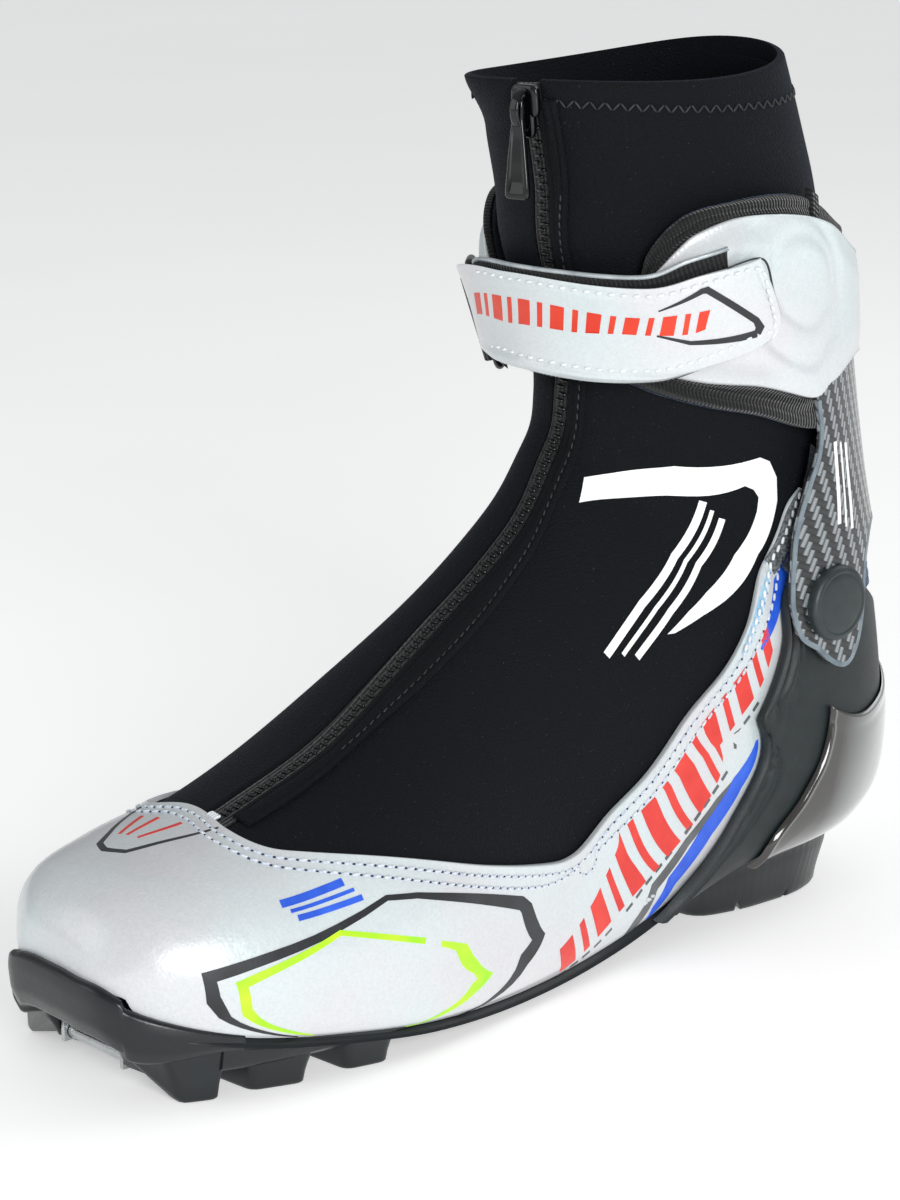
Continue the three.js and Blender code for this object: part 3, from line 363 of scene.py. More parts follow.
def add(tree, kind, inputs=None, **settings):
    """Adds one shader node, sets its properties, and fills or links its inputs."""
    made = tree.nodes.new("ShaderNode" + kind)
    for key, value in settings.items():
        setattr(made, key, value)
    for key, value in (inputs or {}).items():
        if isinstance(value, bpy.types.Node):
            value = value.outputs[0]
        if isinstance(value, bpy.types.NodeSocket):
            tree.links.new(value, made.inputs[key])
        else:
            made.inputs[key].default_value = value
    return made


def material(name, colour, roughness=0.5, **shader):
    """A Principled material and its tree. Extra shader inputs are set on its own sockets."""
    made = bpy.data.materials.new(name)
    made.use_nodes = True
    tree = made.node_tree
    tree.nodes.clear()
    values = {"Base Color": linear(colour), "Roughness": roughness}
    values.update({key.replace("_", " "): value for key, value in shader.items()})
    lit = add(tree, "BsdfPrincipled", values)
    add(tree, "OutputMaterial", {"Surface": lit})
    made.diffuse_color = linear(colour)
    return made, tree, lit


def in_mm(tree, source="Object"):
    """Object coordinates in mm, or the UV map `surface`, which is in mm already."""
    if source == "UV":
        return add(tree, "UVMap", uv_map="surface")
    place = add(tree, "TexCoord")
    return add(tree, "VectorMath", {0: place.outputs["Object"], "Scale": 1000.0},
               operation="SCALE")


def noise(tree, where, size, detail=3.0):
    """A cloudy pattern whose lumps are about `size` mm."""
    return add(tree, "TexNoise", {"Vector": where, "Scale": 1 / size, "Detail": detail})


def span(tree, value, a, b, low=0.0, high=1.0):
    """A value carried from a..b to low..high and held there."""
    return add(tree, "MapRange", {"Value": value, "From Min": a, "From Max": b,
                                  "To Min": low, "To Max": high})


def tint(tree, factor, a, b, blend="MIX"):
    """Two colours (hex or sockets) mixed by a factor."""
    colour = lambda c: linear(c) if isinstance(c, str) else c
    return add(tree, "MixRGB", {"Fac": factor, "Color1": colour(a), "Color2": colour(b)},
               blend_type=blend)


def bump(tree, height, depth, after=None):
    """A bump `depth` mm deep, laid over an earlier one."""
    inputs = {"Height": height, "Distance": depth * MM, "Strength": 1.0}
    if after:
        inputs["Normal"] = after
    return add(tree, "Bump", inputs)


def finish(tree, lit, colour=None, roughness=None, normal=None):
    """Links what was made to the shader."""
    for key, node in (("Base Color", colour), ("Roughness", roughness), ("Normal", normal)):
        if node:
            tree.links.new(node.outputs[0], lit.inputs[key])


# %% [markdown]
# ### Pearl synthetic leather
# Polyurethane on a knit backing, with mica flakes in a clear coat. It looks silver white, goes
# faintly cyan and pink, and has a fine leather grain of about 0.8 mm under the gloss.

# %% Pearl
def pearl(name, white, shade, grain=0.05):
    """Coated synthetic leather: clouds of two near whites, flakes, and grain as bump."""
    made, tree, lit = material(name, white, 0.34, Metallic=0.12, Coat_Weight=0.5,
                               Coat_Roughness=0.16, Specular_IOR_Level=0.55)
    where = in_mm(tree)
    cloud = noise(tree, where, 38, 2.0)
    rosy = tint(tree, span(tree, cloud, 0.35, 0.65), white, shade)
    flakes = add(tree, "TexVoronoi", {"Vector": where, "Scale": 1.8})
    spark = span(tree, flakes.outputs["Color"], 0.0, 1.0, 0.94, 1.04)
    colour = tint(tree, 1.0, rosy, spark, "MULTIPLY")
    cells = add(tree, "TexVoronoi", {"Vector": where, "Scale": 1 / 0.8}, feature="SMOOTH_F1")
    first = bump(tree, cells, grain)
    soft = bump(tree, noise(tree, where, 9, 2.0), 0.25, first)
    rough = span(tree, noise(tree, where, 2.5), 0.3, 0.7, 0.28, 0.4)
    finish(tree, lit, colour, rough, soft)
    return made


PEARL = pearl("pearl_synthetic_leather", "#CFDADC", "#D3D3D6")
STRAP_PEARL = pearl("pearl_strap_leather", "#D0DADC", "#D4D3D6", 0.03)

# %% [markdown]
# ### Knitted neoprene
# Closed-cell rubber foam with a knitted nylon face. The face is almost black with a blue tint,
# soft at grazing angles, with a fine rib of about 0.6 mm. A few bright specks in the colour are
# painted glints, where filament ends would catch the light.

# %% Neoprene
def knit(name, dark, light, pitch=0.6, sparkle=0.5, sheen=0.3):
    """Two sine ribs crossed give the loops, a fine noise breaks them up."""
    made, tree, lit = material(name, dark, 0.78, Sheen_Weight=sheen, Sheen_Roughness=0.45,
                               Sheen_Tint=linear("#8FA6C8"), Specular_IOR_Level=0.18)
    where = in_mm(tree)
    fine = noise(tree, where, pitch, 2.0)
    loops = add(tree, "TexVoronoi", {"Vector": where, "Scale": 1 / pitch})
    base = tint(tree, span(tree, fine, 0.35, 0.7), dark, light)
    # Sparse bright specks, as many as `sparkle` allows, are mixed into the colour: painted glints.
    ends = add(tree, "TexVoronoi", {"Vector": where, "Scale": 1 / (1.7 * pitch)})
    spot = span(tree, ends.outputs["Distance"], 0.1, 0.02, 0.0, 1.0)
    chance = span(tree, add(tree, "SeparateColor", {"Color": ends.outputs["Color"]}),
                  0.82, 0.86, 0.0, sparkle)
    painted_glint = add(tree, "Math", {0: spot, 1: chance}, operation="MULTIPLY")
    colour = tint(tree, painted_glint, base, "#7D8FA3")
    rough = span(tree, fine, 0.3, 0.7, 0.7, 0.88)
    finish(tree, lit, colour, rough,
           bump(tree, fine, 0.25, bump(tree, loops.outputs["Distance"], 0.22)))
    return made


NEOPRENE = knit("knitted_neoprene", "#030507", "#0A0E14", sparkle=0.8, sheen=0.06)
BINDING_BAND = knit("zip_flap_stretch_knit", "#030405", "#090C10", 0.5, 0.25, 0.05)
LINING = knit("brushed_lining_fleece", "#0E0F11", "#1B1C1F", 0.9, 0.0, 0.5)
PILE = knit("pile_fleece", "#0B0C0D", "#232426", 1.1, 0.3, 0.8)

# %% [markdown]
# ### Ribbed elastic binding
# Woven elastic folded over a raw edge. Its length ribs are modelled; the cross ribs, one each
# 1.1 mm, are bump, because they are under half a millimetre deep.

# %% Elastic
def woven(name, dark, light, pitch):
    """Cross ribs from a triangle wave along the band, crossed with finer ones over it."""
    made, tree, lit = material(name, dark, 0.66, Sheen_Weight=0.25, Sheen_Roughness=0.4,
                               Specular_IOR_Level=0.4)
    where = in_mm(tree, "UV")
    ribs = add(tree, "TexWave", {"Vector": where, "Scale": 6.2832 / 20 / pitch,
                                 "Distortion": 0.6, "Detail": 1.0}, bands_direction="X")
    cross = add(tree, "TexWave", {"Vector": where, "Scale": 6.2832 / 20 / (1.4 * pitch),
                                  "Distortion": 0.5}, bands_direction="Y")
    # The colour follows the ribs, darker in the grooves and lighter on the crests: painted shade
    # and painted highlight.
    colour = tint(tree, span(tree, ribs, 0.2, 0.95), dark, light)
    rough = span(tree, ribs, 0.0, 1.0, 0.78, 0.55)
    finish(tree, lit, colour, rough, bump(tree, ribs, 0.35, bump(tree, cross, 0.12)))
    return made


ELASTIC = woven("ribbed_elastic_binding", "#030404", "#111315", 1.1)
WEBBING = woven("polyester_webbing", "#0A0B0C", "#1D1F21", 1.3)

# %% [markdown]
# ### Carbon twill
# Woven carbon tows under clear resin. Each tow is 2 mm wide and passes over two and under two;
# tows that lie one way reflect more than those that lie the other way, so the cells look bright
# and dark. That reflection is painted into the colour, with a painted highlight along each
# tow's crown. The clear coat is smooth.

# %% Carbon
def carbon(name):
    """A 2/2 twill: over where the sum of the two tow numbers, counted by fours, is under two."""
    made, tree, lit = material(name, "#2A2D2F", 0.32, Coat_Weight=0.6, Coat_Roughness=0.08,
                               Metallic=0.3)
    axis = add(tree, "SeparateXYZ", {0: in_mm(tree)})
    round_arm = add(tree, "Math", {0: axis.outputs[1], 1: axis.outputs[0]}, operation="SUBTRACT")
    flat = add(tree, "CombineXYZ", {0: round_arm, 1: axis.outputs[2]})
    turned = add(tree, "VectorRotate", {"Vector": flat, "Angle": 0.35})
    cells = add(tree, "VectorMath", {0: turned, "Scale": 1 / 2.0}, operation="SCALE")
    whole = add(tree, "SeparateXYZ", {0: add(tree, "VectorMath", {0: cells}, operation="FLOOR")})
    total = add(tree, "Math", {0: whole.outputs[0], 1: whole.outputs[1]}, operation="ADD")
    four = add(tree, "Math", {0: total, 1: 4.0}, operation="FLOORED_MODULO")
    over = add(tree, "Math", {0: four, 1: 1.5}, operation="LESS_THAN")
    parts = add(tree, "SeparateXYZ", {0: add(tree, "VectorMath", {0: cells},
                                             operation="FRACTION")})
    crown = [add(tree, "Math", {0: add(tree, "Math", {0: parts.outputs[k], 1: 3.1416},
                                       operation="MULTIPLY")}, operation="SINE")
             for k in (0, 1)]
    # Tows of one direction are lighter than the other, and each is lighter along its crown:
    # painted reflection and painted highlight.
    warp_painted_sheen = tint(tree, crown[0], "#1D2022", "#A2A9AD")
    weft_painted_sheen = tint(tree, crown[1], "#0B0C0D", "#2B2F31")
    height = add(tree, "Mix", {0: over, 2: crown[1], 3: crown[0]}, data_type="FLOAT")
    fibre = noise(tree, turned, 0.35, 1.0)
    twill_painted_sheen = tint(tree, over, weft_painted_sheen, warp_painted_sheen)
    colour = tint(tree, span(tree, fibre, 0.3, 0.7, 0.0, 0.35), twill_painted_sheen, "#101214")
    finish(tree, lit, colour, span(tree, over, 0, 1, 0.42, 0.26), bump(tree, height, 0.12))
    return made


CARBON = carbon("carbon_twill_in_resin")

# %% [markdown]
# ### Moulded plastics, rubber, steel and thread
# Injection moulding copies the tool, so plastics have a fine even texture and slightly uneven
# gloss. A helper makes them from a colour, a gloss and a grain size in mm.

# %% Moulded, printed and sewn
def moulded(name, dark, light, roughness, grain=0.5, depth=0.05, **shader):
    """Two close colours in clouds, uneven gloss, and a grain as bump."""
    made, tree, lit = material(name, dark, roughness, **shader)
    where = in_mm(tree)
    cloud = noise(tree, where, 14 * grain, 4.0)
    fine = noise(tree, where, grain, 2.0)
    rough = span(tree, fine, 0.3, 0.7, roughness * 0.85, min(1.0, roughness * 1.15))
    finish(tree, lit, tint(tree, span(tree, cloud, 0.3, 0.7), dark, light), rough,
           bump(tree, fine, depth))
    return made


SOLE = moulded("moulded_tpu_sole", "#060C0F", "#0C1519", 0.33, 0.7, 0.04, Coat_Weight=0.12,
               Coat_Roughness=0.3)
COUNTER = moulded("moulded_rubber_counter", "#0E1719", "#162224", 0.5, 0.35, 0.08)
CAP = moulded("satin_pivot_plastic", "#232B2C", "#2D3637", 0.42, 0.3, 0.03)
GLOSS_BLACK = moulded("black_nickel_zinc", "#050607", "#101215", 0.14, 2.0, 0.01, Metallic=0.65,
                      Coat_Weight=0.6, Coat_Roughness=0.05)
RING = moulded("black_acetal_ring", "#08090A", "#121416", 0.26, 0.8, 0.02)
STEEL = moulded("drawn_steel_bar", "#A9ADAF", "#C7CACB", 0.26, 0.4, 0.03, Metallic=1.0)
BOARD = moulded("lasting_board_fibre", "#2A2825", "#3A3733", 0.85, 1.2, 0.15)
FOAM = moulded("footbed_felt", "#26282B", "#3B3E42", 0.92, 0.8, 0.3, Sheen_Weight=0.4)
CUT_EDGE = moulded("cut_edge_of_carbon", "#5D6A73", "#828F97", 0.45, 0.4, 0.1)
WHITE_THREAD = moulded("white_bonded_thread", "#DDE4EA", "#F4F6F7", 0.5, 0.3, 0.12,
                       Sheen_Weight=0.3)
BLUE_THREAD = moulded("blue_white_twisted_thread", "#B9CBE0", "#FBFCFD", 0.5, 0.05, 0.12,
                      Sheen_Weight=0.3)
# Navy capsules sunk between the white stitches: painted shade in the needle holes, not a thread of
# their own.
NEEDLE_HOLE_SHADE = moulded("needle_hole_painted_shade", "#10214A", "#1C3568", 0.6, 0.3, 0.1)
BLACK_THREAD = moulded("black_bonded_thread", "#141619", "#2B2E32", 0.5, 0.3, 0.12)
SILVER_PIPING = moulded("silver_piping_cord", "#8E979C", "#C2C9CC", 0.35, 0.5, 0.1, Metallic=0.3)
GREY_MESH = knit("grey_mesh_fabric", "#3E4245", "#84898C", 0.8, 0.0, 0.3)


def ink(name, colour, shade, roughness=0.42):
    """Screen-printed ink: a nearly even film that takes the grain of what it is printed on."""
    return moulded("printed_ink_" + name, colour, shade, roughness, 0.6, 0.04,
                   Coat_Weight=0.25, Coat_Roughness=0.25)


RED_INK, ORANGE_INK = ink("red", "#D3231A", "#E2382A"), ink("orange", "#D62B08", "#E23A14")
BLACK_INK, GREY_INK = ink("black", "#0F1216", "#23272C"), ink("grey", "#4A4D4F", "#626567")
LIME_INK, WHITE_INK = ink("lime", "#93E60F", "#C8F01C"), ink("white", "#F2F3F3", "#FFFFFF", 0.6)
BLUE_INK, SKY_INK = ink("blue", "#164CC8", "#2E66E4"), ink("sky", "#8DB8D6", "#B4D3E6")


def gloss_with_painted_reflection(name):
    """Polished plastic whose colour is darker in front and lighter behind: a painted reflection.
    """
    made, tree, lit = material(name, "#3B3A38", 0.12, Coat_Weight=1.0, Coat_Roughness=0.04,
                               Metallic=0.25)
    where = in_mm(tree)
    depth = add(tree, "SeparateXYZ", {0: where}).outputs[1]
    rise = add(tree, "SeparateXYZ", {0: where}).outputs[2]
    slant = add(tree, "Math", {0: rise, 1: -0.25}, operation="MULTIPLY")
    line = add(tree, "Math", {0: depth, 1: slant}, operation="ADD")
    reflection_edge = add(tree, "Math", {0: line, 1: add(tree, "Math", {0: noise(tree, where, 30, 1.0),
                              1: 8.0}, operation="MULTIPLY")}, operation="ADD")
    # Dark grey in front and light grey behind, split along a slanted wavy line: painted
    # reflection.
    colour = tint(tree, span(tree, reflection_edge, 92, 112), "#343230", "#A3A6A6")
    rough = span(tree, noise(tree, where, 6), 0.3, 0.7, 0.09, 0.17)
    finish(tree, lit, colour, rough, bump(tree, noise(tree, where, 5, 1.0), 0.04))
    return made


CRADLE = gloss_with_painted_reflection("gloss_cradle_painted_reflection")
print("materials:", len(bpy.data.materials))

# %% [markdown]
# ## Riding on the frame
# Each finished piece rides on a CAD body. Soft pieces that cross the ankle joint ride on neither
# body and stay where they are made.


def keep(made, body, slot, *nodes):
    """Puts a piece on a body, or on none across the ankle. `slot`, the name of its finish, is not
    used.
    """
    if body == "ankle":
        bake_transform(made)
    else:
        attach(made, body)
    if nodes:
        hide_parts(*nodes)
    return made


# %% [markdown]
# ## Sewing
# A seam is a row of short thread capsules. Every stitch is the same small shape, so the whole row
# is one template repeated: its points times the tangent, the cross direction and the normal.

# %% Stitches
def capsule(rings=4, sides=6):
    """A closed capsule of unit length and unit radius: rings of points and two poles."""
    angle = np.linspace(0, np.pi, rings + 2)[1:-1]
    turn = np.linspace(0, 2 * np.pi, sides, endpoint=False)
    x = np.repeat(-np.cos(angle) * 0.5, sides)
    r = np.repeat(np.sin(angle) ** 0.6, sides)
    body = np.stack([x, r * np.tile(np.cos(turn), rings), r * np.tile(np.sin(turn), rings)], -1)
    points = np.concatenate([body, [[-0.5, 0, 0], [0.5, 0, 0]]])
    quads = grid_faces(rings, sides, ring=True)
    i, k = np.arange(sides), (np.arange(sides) + 1) % sides
    last_ring = (rings - 1) * sides
    ends = np.concatenate([
        np.stack([k, i, np.full(sides, rings * sides)], -1),
        np.stack([last_ring + i, last_ring + k, np.full(sides, rings * sides + 1)], -1)])
    return points, outward(points, [quads, ends])


def repeated(name, shape, origins, frames, material):
    """One shape at many places: origin plus its points times the three directions there."""
    points, faces = shape
    placed = origins[:, None] + np.einsum("pk,nkj->npj", points, frames)
    shift = (np.arange(len(origins)) * len(points))[:, None, None]
    many = [(np.asarray(f)[None] + shift).reshape(-1, np.asarray(f).shape[1]) for f in faces]
    return put(name, placed, many, material, sharp=80)


def seam(name, places, out, material, pitch=3.0, length=2.3, thick=0.42, slant=0.12, zig=0.0,
         half=0.0):
    """Stitches along a line of places at a distance off the last. zig turns them to and fro,
    and half moves them on by part of a pitch, which is where the needle holes lie."""
    line = edge(places)
    t = np.linspace(0, 1, 400)
    run = run_along(last(*line(t).T, 0), 0)
    count = max(2, int(run[-1] / pitch))
    uv = line(np.interp(np.linspace(0, run[-1], count) + half * run[-1] / (count - 1), run, t))
    height = out(uv[:, 0], uv[:, 1]) if callable(out) else out
    origin, _, _, normal = axes_at(uv[:, 0], uv[:, 1], height)
    ahead = unit(np.gradient(origin, axis=0))
    side = np.cross(normal, ahead)
    turn = slant + zig * np.where(np.arange(count) % 2, 1, -1)
    turn = turn[:, None] if np.ndim(turn) else turn
    way = np.cos(turn) * ahead + np.sin(turn) * side
    over = np.cross(normal, way)
    frames = np.stack([way * length, over * thick, normal * thick], 1)
    return repeated(name, capsule(), origin, frames, material)


# %% [markdown]
# ## Printed marks
# The prints are thin films cut to an outline, laid on the surface they decorate. A film lies
# between two lines of places that run side by side, so it bends as the layer under it does. All
# marks here are plain bars and outlines.

# %% Films and stripes
def lines_between(a, b, steps, columns):
    """Places between two corner lists, each leg cut evenly."""
    a, b = np.asarray(a, float), np.asarray(b, float)
    x = np.linspace(0, len(a) - 1, (len(a) - 1) * steps + 1)
    i = np.minimum(x.astype(int), len(a) - 2)
    f = (x - i)[:, None]
    first, second = mix(a[i], a[i + 1], f), mix(b[i], b[i + 1], f)
    s = np.linspace(0, 1, columns)[:, None, None]
    return mix(first[None], second[None], s)


def film_sheets(uv, out, thick=0.1):
    """Outer and inner grid of a film on a layer whose surface is `out` off the last."""
    height = out(uv[..., 0], uv[..., 1]) if callable(out) else out
    return (last(uv[..., 0], uv[..., 1], height + thick),
            last(uv[..., 0], uv[..., 1], height - 0.25))


def films(name, pairs, out, material, steps=6, columns=5, thick=0.1):
    """Several films as one piece. Each pair is two lists of corners (u, v)."""
    points, quads, coords, count = [], [], [], 0
    for a, b in pairs:
        uv = lines_between(a, b, steps, columns)
        outer, inner = film_sheets(uv, out, thick)
        p, faces = two_sheets(outer, inner)
        flat = np.stack([run_along(outer, 1), run_along(outer, 0)], -1)
        points.append(p)
        coords.append(np.concatenate([flat, flat]).reshape(-1, 2))
        quads.append(faces[0] + count)
        count += len(p)
    return put(name, np.concatenate(points), [np.concatenate(quads)], material,
               np.concatenate(coords))


MITRE_LIMIT = 0.35  # the least cosine of half a corner's turn, so sharp corners stay short


def beside(places, mm, out=2.0):
    """A line of places moved sideways by mm, with mitred corners. The surface is flattened
    round each corner, where a step of one section and of one degree are two known vectors."""
    places = np.asarray(places, float)
    mm = np.broadcast_to(np.asarray(mm, float), len(places))
    up, along = slopes(places[:, 0], places[:, 1], out)
    e1 = unit(along)
    e2 = unit(up - (up * e1).sum(-1, keepdims=True) * e1)
    to_mm = np.stack([np.stack([(up * e).sum(-1), (along * e).sum(-1)], -1) for e in (e1, e2)], 1)
    before = np.einsum("nij,nj->ni", to_mm, places - np.roll(places, 1, 0))
    after = np.einsum("nij,nj->ni", to_mm, np.roll(places, -1, 0) - places)
    before[0], after[-1] = after[0], before[-1]
    left = lambda d: unit(np.stack([-d[:, 1], d[:, 0]], -1))
    middle = unit(left(before) + left(after))
    reach = mm / np.maximum((middle * left(after)).sum(-1), MITRE_LIMIT)
    return places + np.einsum("nij,nj->ni", np.linalg.inv(to_mm), middle * reach[:, None])


def stripe(places, width, out=2.0):
    """The two edges of a stripe of a width (or widths) in mm along a line of places."""
    half = np.asarray(width, float) / 2
    return beside(places, half, out), beside(places, -half, out)


# %% [markdown]
# ## Lines of the pattern pieces
# These are the edges that a pattern cutter would draw on the taped last, on the outer side. The
# inner side mirrors them. Distances off the last are the layers, from the liner to the strap.

# %% Lines and layers
FEATHER = [(0, 90), (0.97, 90), (1.77, 104), (2.53, 112), (3.7, 122), (4.63, 128), (5.8, 133),
           (7.3, 137)]
RIM = [(3.97, 0), (3.87, 16), (3.97, 30), (4.3, 41), (5.03, 58), (5.73, 73), (6.37, 83),
       (6.77, 87), (7.2, 85), (7.63, 84), (8.17, 80), (8.6, 78), (9.1, 76), (9.83, 75),
       (10.63, 83), (11.07, 91)]
ZIP = [(3.3, 8), (3.97, 8), (4.6, 8), (5.43, 11), (6.03, 12), (6.6, 13), (7.3, 14), (8, 12.5),
       (9, 9.5), (10.5, 8), (12, 9), (13.3, 11), (15, 10)]
FLAP = [(4.08, 19), (5.3, 20.5), (6.23, 25), (7, 27), (7.7, 25), (8.5, 21), (9.7, 19),
        (11.67, 18.5), (13.4, 22), (14.75, 22)]
RIDGE = [(7.3, 137), (7.45, 123), (7.73, 111), (8.13, 98), (8.53, 91), (8.9, 87), (9.37, 84),
         (9.7, 81), (10.23, 83), (10.7, 88)]
HEEL_SEAM = [(7.3, 137), (7.75, 139.5), (8.3, 141.5), (8.9, 144), (9.15, 158), (9.2, 180)]
COUNTER_TOP = [(10.7, 88), (10.72, 105), (10.85, 135), (11, 180)]
CRADLE_LOW = [(8.1, 144), (8.6, 143), (9.05, 147), (9.2, 162), (9.25, 180)]
CRADLE_HIGH = [(9.33, 95), (9.6, 108), (10.1, 128), (10.55, 152), (10.7, 180)]
CRADLE_SIDE = [(8.1, 144), (8.27, 118), (8.6, 105), (8.93, 99), (9.33, 95)]
CARBON_LOW = [(9.47, 84), (9.53, 89), (9.8, 97), (10.35, 105), (11, 114), (11.45, 128),
              (11.65, 150), (11.7, 180)]
CARBON_HIGH = [(12.13, 98), (12.9, 112), (13.3, 135), (13.4, 180)]
CARBON_SIDE = [(9.47, 84), (9.73, 80), (10.33, 80), (11, 87), (11.7, 96), (12.13, 98)]
CUFF_LOW = [(10.6, 26), (10.87, 38), (11.27, 56), (11.77, 76), (12.07, 95), (12.4, 106),
            (12.85, 130), (13.05, 180)]
CUFF_HIGH = [(11.5, 26), (12.42, 46), (13.02, 57), (13.33, 64), (13.6, 76), (13.73, 92),
             (13.73, 109), (13.6, 130), (13.6, 180)]
TRIM_LOW = [(10.3, 18), (10.6, 32), (10.75, 43), (11.05, 58), (11.45, 76), (11.68, 91),
            (12, 110), (12.4, 140), (12.55, 180)]
TRIM_HIGH = [(11.2, 18), (12.12, 40), (12.9, 49), (13.5, 61), (13.77, 78), (13.9, 97),
             (13.87, 110), (13.75, 130), (13.75, 180)]
STRAP_TOP = [(11.83, -37), (11.62, -18), (11.51, 1), (11.67, 22), (12.15, 44), (12.75, 61),
             (13.23, 78)]
STRAP_LOW = [(10.47, -37), (9.9, -17), (9.71, 3), (9.95, 21), (10.67, 41), (11.4, 56),
             (12.02, 69)]
STRAP_END = [(12.02, 69), (12.27, 76), (12.57, 82), (12.9, 81.5), (13.23, 78)]
BACK_TOP = [(12.12, -43), (11.92, -24), (11.73, 1), (11.9, 22), (12.35, 44), (12.87, 58),
            (13.22, 70)]
BACK_LOW = [(10.57, -43), (10.1, -22), (9.79, 3), (10.03, 21), (10.7, 41), (11.4, 56),
            (12.05, 69)]

LINER_IN, LINER_OUT = -7.4, -4.8
GAITER_WALL = 1.9
VAMP_IN, VAMP_OUT = 0.65, 1.95
FLAP_OUT, SOLE_OUT = 1.65, 3.85
COUNTER_IN, COUNTER_OUT = 2.93, 4.53
CRADLE_IN, CRADLE_OUT = 5.5, 6.5
PAD_IN, PAD_OUT = 2.4, 3.9
TRIM_IN, TRIM_OUT = 4.88, 5.78
CARBON_IN, CARBON_OUT = 7.15, 8.45
SHELL_IN, SHELL_OUT = 9.1, 10.3
BACK_IN, BACK_OUT = 11.2, 12.4
HOOK_IN, HOOK_OUT = 12.8, 13.4
STRAP_IN, STRAP_OUT = 13.8, 15.3

zip_fine = through(ZIP, np.linspace(0, len(ZIP) - 1, 200))


def zip_at(u):
    """The zip's angle at a section."""
    return np.interp(u, zip_fine[:, 0], zip_fine[:, 1])


def turned(v):
    """The same angle from -180 to 180."""
    return (np.asarray(v, float) + 180) % 360 - 180


# %% [markdown]
# ## The gaiter
# One sock of neoprene, slit for the zip. Cloth that is only held at the ankle isn't smooth: the
# collar's inner front corner falls outwards, the neck pinches under it, and shallow folds cross
# the instep where the boot bends. Those are added to the layer's distance off the last, and the
# zip, the flap and the printed stripe use the same function, so all of them fold together.

# %% Gaiter
def folds(u, v):
    """How far the gaiter's cloth stands off its smooth shape, in mm."""
    w = turned(v)
    corner = 6.0 * smooth((u - 14.3) / 0.7) * hump(w, -24, 26)
    roll = 1.3 * smooth((u - 14.2) / 0.8) * np.sin(np.radians(3 * w + 40))
    neck = -1.1 * hump(u, 13.45, 0.55) * hump(w, -10, 70)
    swell = 0.9 * hump(u, 12.3, 0.7) * hump(w, 10, 60)
    crease = 0.55 * np.sin(5.2 * u + 0.035 * w) * hump(u, 9.3, 1.6) * hump(w, 25, 55)
    slack = 0.35 * np.sin(2.1 * u - 0.05 * w + 1) * hump(u, 6.5, 2.2)
    instep = -0.9 * hump(u, 9.6, 0.55) * hump(w, 38, 26)
    return corner + roll + neck + swell + crease + slack + instep


def sock(half):
    """The whole way round from one side of the zip to the other, `half` degrees off it."""
    def places(s, t):
        u = mix(3.3, 15.0, s)[:, None] + 0 * t[None]
        v = zip_at(u) + mix(half, 360 - half, t[None])
        return np.stack([u - 0.12 * np.sin(np.radians(v)) ** 2 * smooth(u - 14), v], -1)
    return places


gaiter = Layer("gaiter_sock", sock(5.5), 150, 150, -GAITER_WALL, 0.0, NEOPRENE, 0.9,
               sink=lambda a: folds(a.u, a.v))
keep(gaiter.object, "ankle", "neoprene", "gaiter")

hem_line = [(14.45 - 0.1 * np.sin(np.radians(v)) ** 2, v) for v in range(18, 350, 12)]
hem = Layer("collar_hem_fold", between(edge(moved(hem_line, -0.05, 0)),
                                       edge(moved(hem_line, 0.42, 0))),
            8, 120, -3.98, -2.88, NEOPRENE, 0.5, sink=lambda a: folds(a.u, a.v))
keep(hem.object, "cuff", "neoprene", "collar_hem")
zigzag_line = moved(hem_line[:-1], 0.27, 0)
hem_thread = seam("collar_zigzag_stitches", zigzag_line, lambda u, v: folds(u, v) + 0.15,
                  BLACK_THREAD, 2.0, 2.9, 0.34, 0.0, 0.85)
keep(hem_thread, "cuff", "webbing")

# %% [markdown]
# ## The zip
# A tape carries the teeth, and a stretch band lies beside them with a seam along its far edge.
# The teeth are a row of small capsules across the tape, 1.9 mm apart.

# %% Zip tape, teeth and band
def beside_zip(first, second, u0, u1):
    """A band between two angles off the zip."""
    def places(s, t):
        u = mix(u0, u1, s)[:, None] + 0 * t[None]
        return np.stack([u, zip_at(u) + mix(first, second, t[None])], -1)
    return places


tape = Layer("zip_tape_band", beside_zip(-5, 5, 3.35, 14.95), 120, 8, -1.6, -0.4, WEBBING, 0.4,
             sink=lambda a: folds(a.u, a.v))
keep(tape.object, "ankle", "zip_nylon", "zip_tape")

TOOTH_PITCH = 1.9
row_u = np.linspace(3.5, 14.9, 300)
zip_u = np.interp(np.arange(0, 400, TOOTH_PITCH), run_along(last(row_u, zip_at(row_u)), 0), row_u)
zip_u = zip_u[:np.argmax(zip_u)]
tooth_at, tooth_along, tooth_up, tooth_out = axes_at(zip_u, zip_at(zip_u),
                                                     folds(zip_u, zip_at(zip_u)) + 0.55)
tooth_side = np.where(np.arange(len(zip_u)) % 2, 0.45, -0.45)[:, None]
teeth = repeated("zip_coil_teeth", capsule(), tooth_at + tooth_along * tooth_side,
                 np.stack([tooth_along * 2.6, tooth_up * 0.62, tooth_out * 0.62], 1),
                 GLOSS_BLACK)
keep(teeth, "ankle", "zip_nylon", "zip_teeth")

flap_near = [(4.08, 11.6)] + [(u, zip_at(u) + 3.6) for u in np.linspace(4.6, 14.3, 14)]
flap = Layer("zip_band", between(edge(flap_near + [(14.75, 14)]), edge(FLAP)), 16, 200, 0.65,
             FLAP_OUT, BINDING_BAND, 0.8, sink=lambda a: folds(a.u, a.v),
             relief=lambda a: 0.7 * smooth(a.edge / 3.4) - 0.45 * hump(a.edge, 1.7, 0.4))
keep(flap.object, "ankle", "neoprene", "zip_flap")
flap_far = beside(FLAP, 1.8)
band_thread = seam("zip_band_stitches", [tuple(p) for p in flap_far[1:-1]],
                   lambda u, v: folds(u, v) + FLAP_OUT + 0.1, BLACK_THREAD, 2.6, 2.0, 0.28)
keep(band_thread, "ankle", "webbing")

# %% [markdown]
# ## Inside
# The liner is felted foam; a board and a footbed lie under the foot. They show through the
# collar, so the liner has shallow quilting and the footbed a soft edge.

